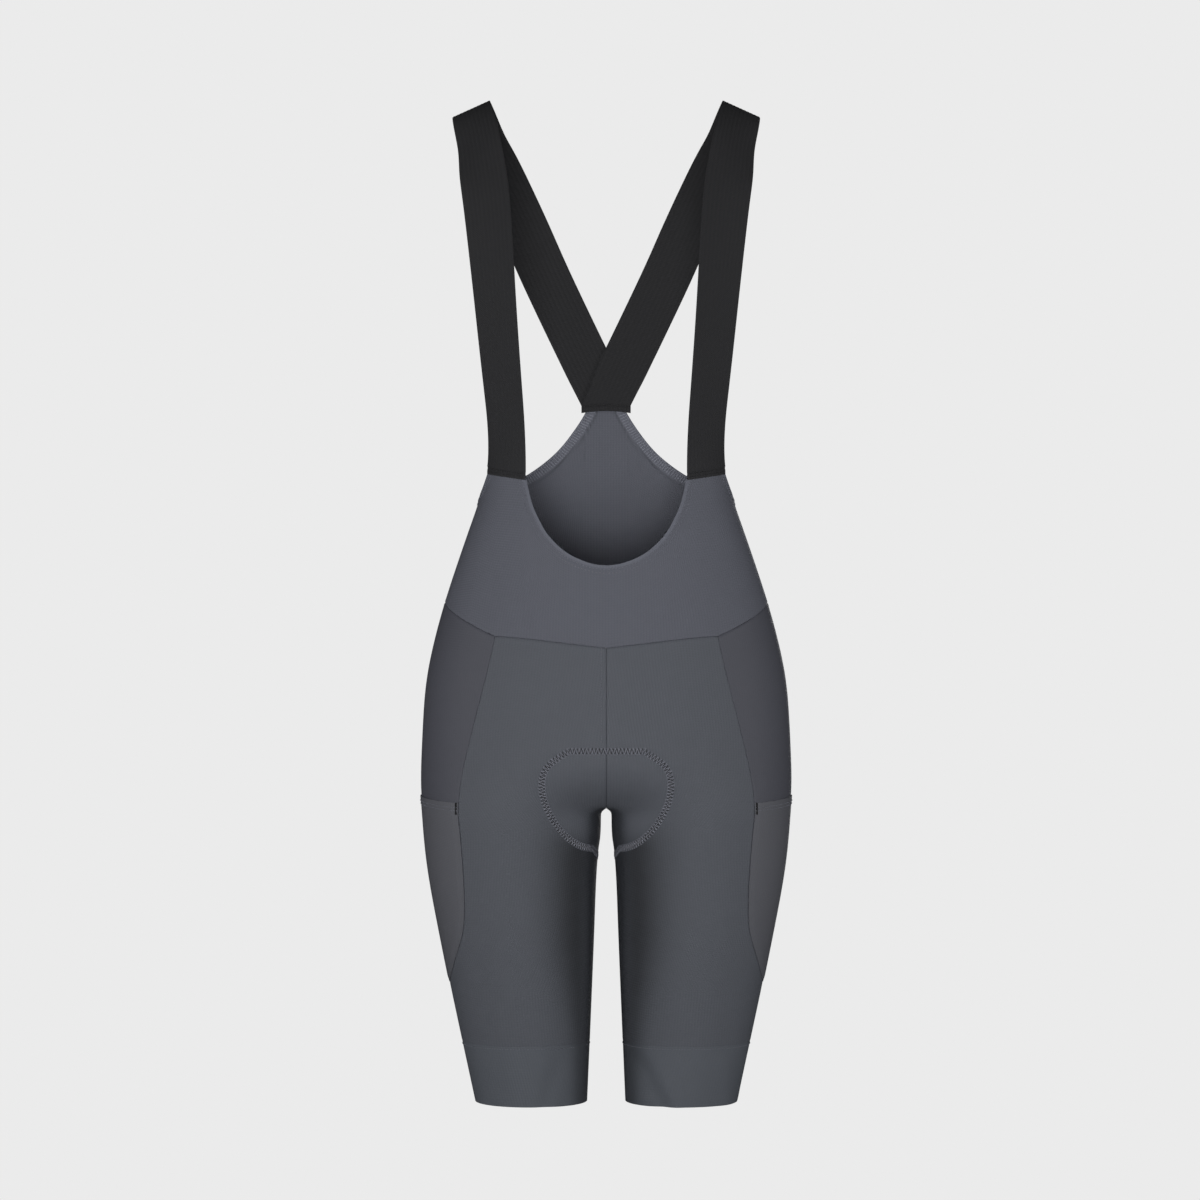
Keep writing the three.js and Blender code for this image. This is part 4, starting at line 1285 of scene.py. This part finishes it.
# The row beside the middle seam, on the wearer's right only, down to the pad.
above_pad = LINES["middle_front"][LINES["middle_front"][:, 2] > PAD_FRONT + 6]
middle_rule = {"line": above_pad, "toward": (1, 0, 0), "height": leg_height("front")}
beside_middle = stitches(pitch=2.7, start=4.6, end=4.6, lean=0.6, **middle_rule)
sew("middle_row", "front_leg_right", [beside_middle], "thread", [mirrored], radius=0.3)


# Hems of the bib: two rows of short stitches outside, and a ladder inside the back armholes.
def bib_height(edge, waist):
    """The cloth's height on a bib panel near one of its hems."""
    return lambda at: relief(at, seams=[waist], hems=[edge])


BIB_HEMS = [
    {"line": "scoop", "face": "front", "toward": (1, 0, -1), "rows": (3.8, HEM_FOLD)},
    {"line": "armhole_front", "face": "front", "toward": (-1, 0, -2), "rows": (3.8, HEM_FOLD)},
    {"line": "armhole_back", "face": "back", "toward": (-1, 0, -1), "rows": (2.6, HEM_FOLD)},
    {"line": "top_back", "face": "back", "toward": (0, 0, -1), "rows": (2.6, 5.6)},
]
both_sides = list(SIDES.values())
for hem in BIB_HEMS:
    height = bib_height(hem["line"], "waist_" + hem["face"])
    rule = {"line": LINES[hem["line"]], "toward": hem["toward"], "height": height}
    rows = [stitches(pitch=3.0, start=row, end=row, lean=0.5, **rule) for row in hem["rows"]]
    sew(hem["line"] + "_rows", hem["face"] + "_bib", rows, "thread", both_sides, radius=0.3)


def inside_height(at):
    """The inner face of the back bib near its armholes."""
    return relief(at, hems=["armhole_back"]) - SHOWN_CLOTH - turned_in(near(at, LINES["armhole_back"]))


ladder_rule = {"line": LINES["armhole_back"], "toward": (-1, 0, -1), "height": inside_height, "inside": True}
ladder = [
    stitches(pitch=2.5, start=1.4, end=INSIDE_EDGE - 0.6, lean=0.35, **ladder_rule),
    stitches(pitch=2.5, start=1.2, end=1.2, lean=0.7, **ladder_rule),
]
sew("armhole_ladder", "back_bib", ladder, "light_thread", both_sides, radius=0.45)


# Pockets: two rows along the open hem and a bar of dense stitches at each end of it.
pocket_rule = {"line": pocket_top[2:-2], "toward": (0, 0, -1), "height": pocket_height}
pocket_hem = [stitches(pitch=2.6, start=row, end=row, lean=0.62, **pocket_rule) for row in (4.4, HEM_FOLD)]
BAR_LENGTH = 11
bar_heights = np.linspace(POCKET_TOP, POCKET_TOP - BAR_LENGTH, 12)
bars = []
for side in (1, -1):
    bar_line = on_thigh(side * (side_seam_angle(bar_heights) - 1.6), bar_heights)
    bar_rule = {"line": bar_line, "toward": (1, 0, 0), "height": pocket_height}
    bars.append(stitches(pitch=0.8, start=-1.1, end=1.1, lean=0.5, **bar_rule))
for side, turn in SIDES.items():
    sew(f"pocket_rows_{side}", f"pocket_{side}", pocket_hem, "thread", [turn], radius=0.3)
    sew(f"pocket_bars_{side}", f"pocket_{side}", bars, "dark_thread", [turn], radius=0.4)

# The row under the upper edge of each leg band.
band_line = on_thigh(np.linspace(180, -180, 181), np.full(181, BAND_TOP - 2.4))
band_rule = {"line": band_line, "toward": (0, 0, -1), "height": lambda at: relief(at, **band_shown)}
band_row = stitches(pitch=2.6, start=0, end=0, lean=0.62, **band_rule)
for side, turn in SIDES.items():
    sew(f"band_row_{side}", f"leg_band_{side}", [band_row], "thread", [turn], radius=0.25)


# Ends of the straps: two rows of dark stitches across each.
def across_strap(faces, row):
    """Short stitches across a strap at a place along it, counted as its rows are: on the outer face of its
    foot and the inner face of its end."""
    outer, facing = faces
    place = np.interp(row, strap_rows, np.arange(len(strap_rows)))
    low = int(place)
    line = lerp(outer[low], outer[low + 1], place - low)
    way = facing[low]
    columns = (np.linspace(0.04, 0.93, 17)[:, None] + thread_share * 0.032) * (len(line) - 1)
    known = np.arange(len(line))
    at = places(line, known, columns)
    way = unit(places(way, known, columns))
    lift = thread_lift + 0.1 if row < 0 else -(STRAP_THICKNESS + thread_lift)
    return at + way * lift[:, None], way


STRAP_END_ROWS = (-0.22, -0.62, 1.22, 1.62)
for side, faces in strap_faces.items():
    rows = [across_strap(faces, row) for row in STRAP_END_ROWS]
    sew(f"strap_rows_{side}", f"strap_{side}", rows, "dark_thread", [SIDES["left"]], radius=0.35)


# Camera, light and backdrop.
def look_at(thing, target):
    """Turns a lamp so that it shines at a point."""
    way = np.array(target) - np.array(thing.location)
    thing.rotation_euler = (
        math.atan2(math.hypot(way[0], way[1]), -way[2]),
        0,
        math.atan2(-way[0], way[1]),
    )


def area_light(name, place, target, size, power, spread_degrees):
    """A soft rectangular lamp behind a grid that narrows its beam."""
    lamp = bpy.data.lights.new(name, "AREA")
    lamp.shape = "RECTANGLE"
    lamp.size, lamp.size_y = size
    lamp.energy = power
    lamp.spread = math.radians(spread_degrees)
    thing = bpy.data.objects.new(name, lamp)
    bpy.context.scene.collection.objects.link(thing)
    thing.location = place
    thing.visible_camera = False
    look_at(thing, target)


scene = bpy.context.scene
lens = bpy.data.cameras.new("camera")
lens.lens = CAMERA_LENS
lens.sensor_width = 36
camera = bpy.data.objects.new("camera", lens)
camera.location = (CAMERA_X, -CAMERA_DISTANCE, CAMERA_Z)
camera.rotation_euler = (HALF_PI, 0, 0)
scene.collection.objects.link(camera)
scene.camera = camera

AIM = (0, 0, -0.36)
AIM_HIGHER = (0, 0, -0.32)
area_light("key_light", (-0.12, -3.0, -0.6), AIM, size=(1.0, 1.0), power=4.2, spread_degrees=50)
area_light("left_light", (-2.3, -1.2, -0.25), AIM_HIGHER, size=(0.6, 1.6), power=2.9, spread_degrees=58)
area_light("right_light", (2.3, -1.2, -0.3), AIM, size=(0.6, 1.6), power=3.0, spread_degrees=62)
area_light("back_light", (0.3, 3.0, -0.2), AIM, size=(1.4, 1.4), power=5.5, spread_degrees=60)
area_light("floor_light", (0, 0, -1.3), (0, 0, -2), size=(2.0, 2.0), power=10, spread_degrees=180)

AMBIENT = 0.05
BACKDROP = 0.831
world = bpy.data.worlds.new("studio")
world.use_nodes = True
world.node_tree.nodes.clear()
shade = Shade(world.node_tree)
seen = shade.node("ShaderNodeLightPath", output="Is Camera Ray")
level = seen * (BACKDROP - AMBIENT) + AMBIENT
sky = shade.node("ShaderNodeBackground", inputs={"Color": (1, 1, 1, 1), "Strength": level})
shade.node("ShaderNodeOutputWorld", inputs={"Surface": sky})
scene.world = world

FLOOR_DROP = 2.1
FLOOR_RADIUS = 1.2


def make_floor():
    """A pale round floor, well below the hems, which the front view doesn't reach."""
    turn = np.linspace(0, 2 * math.pi, 97)[:-1]
    rim = points(np.cos(turn) * FLOOR_RADIUS, np.sin(turn) * FLOOR_RADIUS, -FLOOR_DROP)
    mesh = bpy.data.meshes.new("floor")
    mesh.from_pydata(rim.tolist(), [], [list(range(len(rim)))])
    floor = bpy.data.objects.new("floor", mesh)
    pale = bpy.data.materials.new("floor_paint")
    pale.use_nodes = True
    pale.node_tree.nodes["Principled BSDF"].inputs["Base Color"].default_value = (0.8, 0.8, 0.8, 1)
    pale.node_tree.nodes["Principled BSDF"].inputs["Roughness"].default_value = 0.9
    mesh.materials.append(pale)
    scene.collection.objects.link(floor)


make_floor()
scene.view_settings.view_transform = "Standard"

# What each sheet was cut to, in metres: width, length and area.
for name, piece in pieces.items():
    kind = name.replace("_left", "").replace("_right", "")
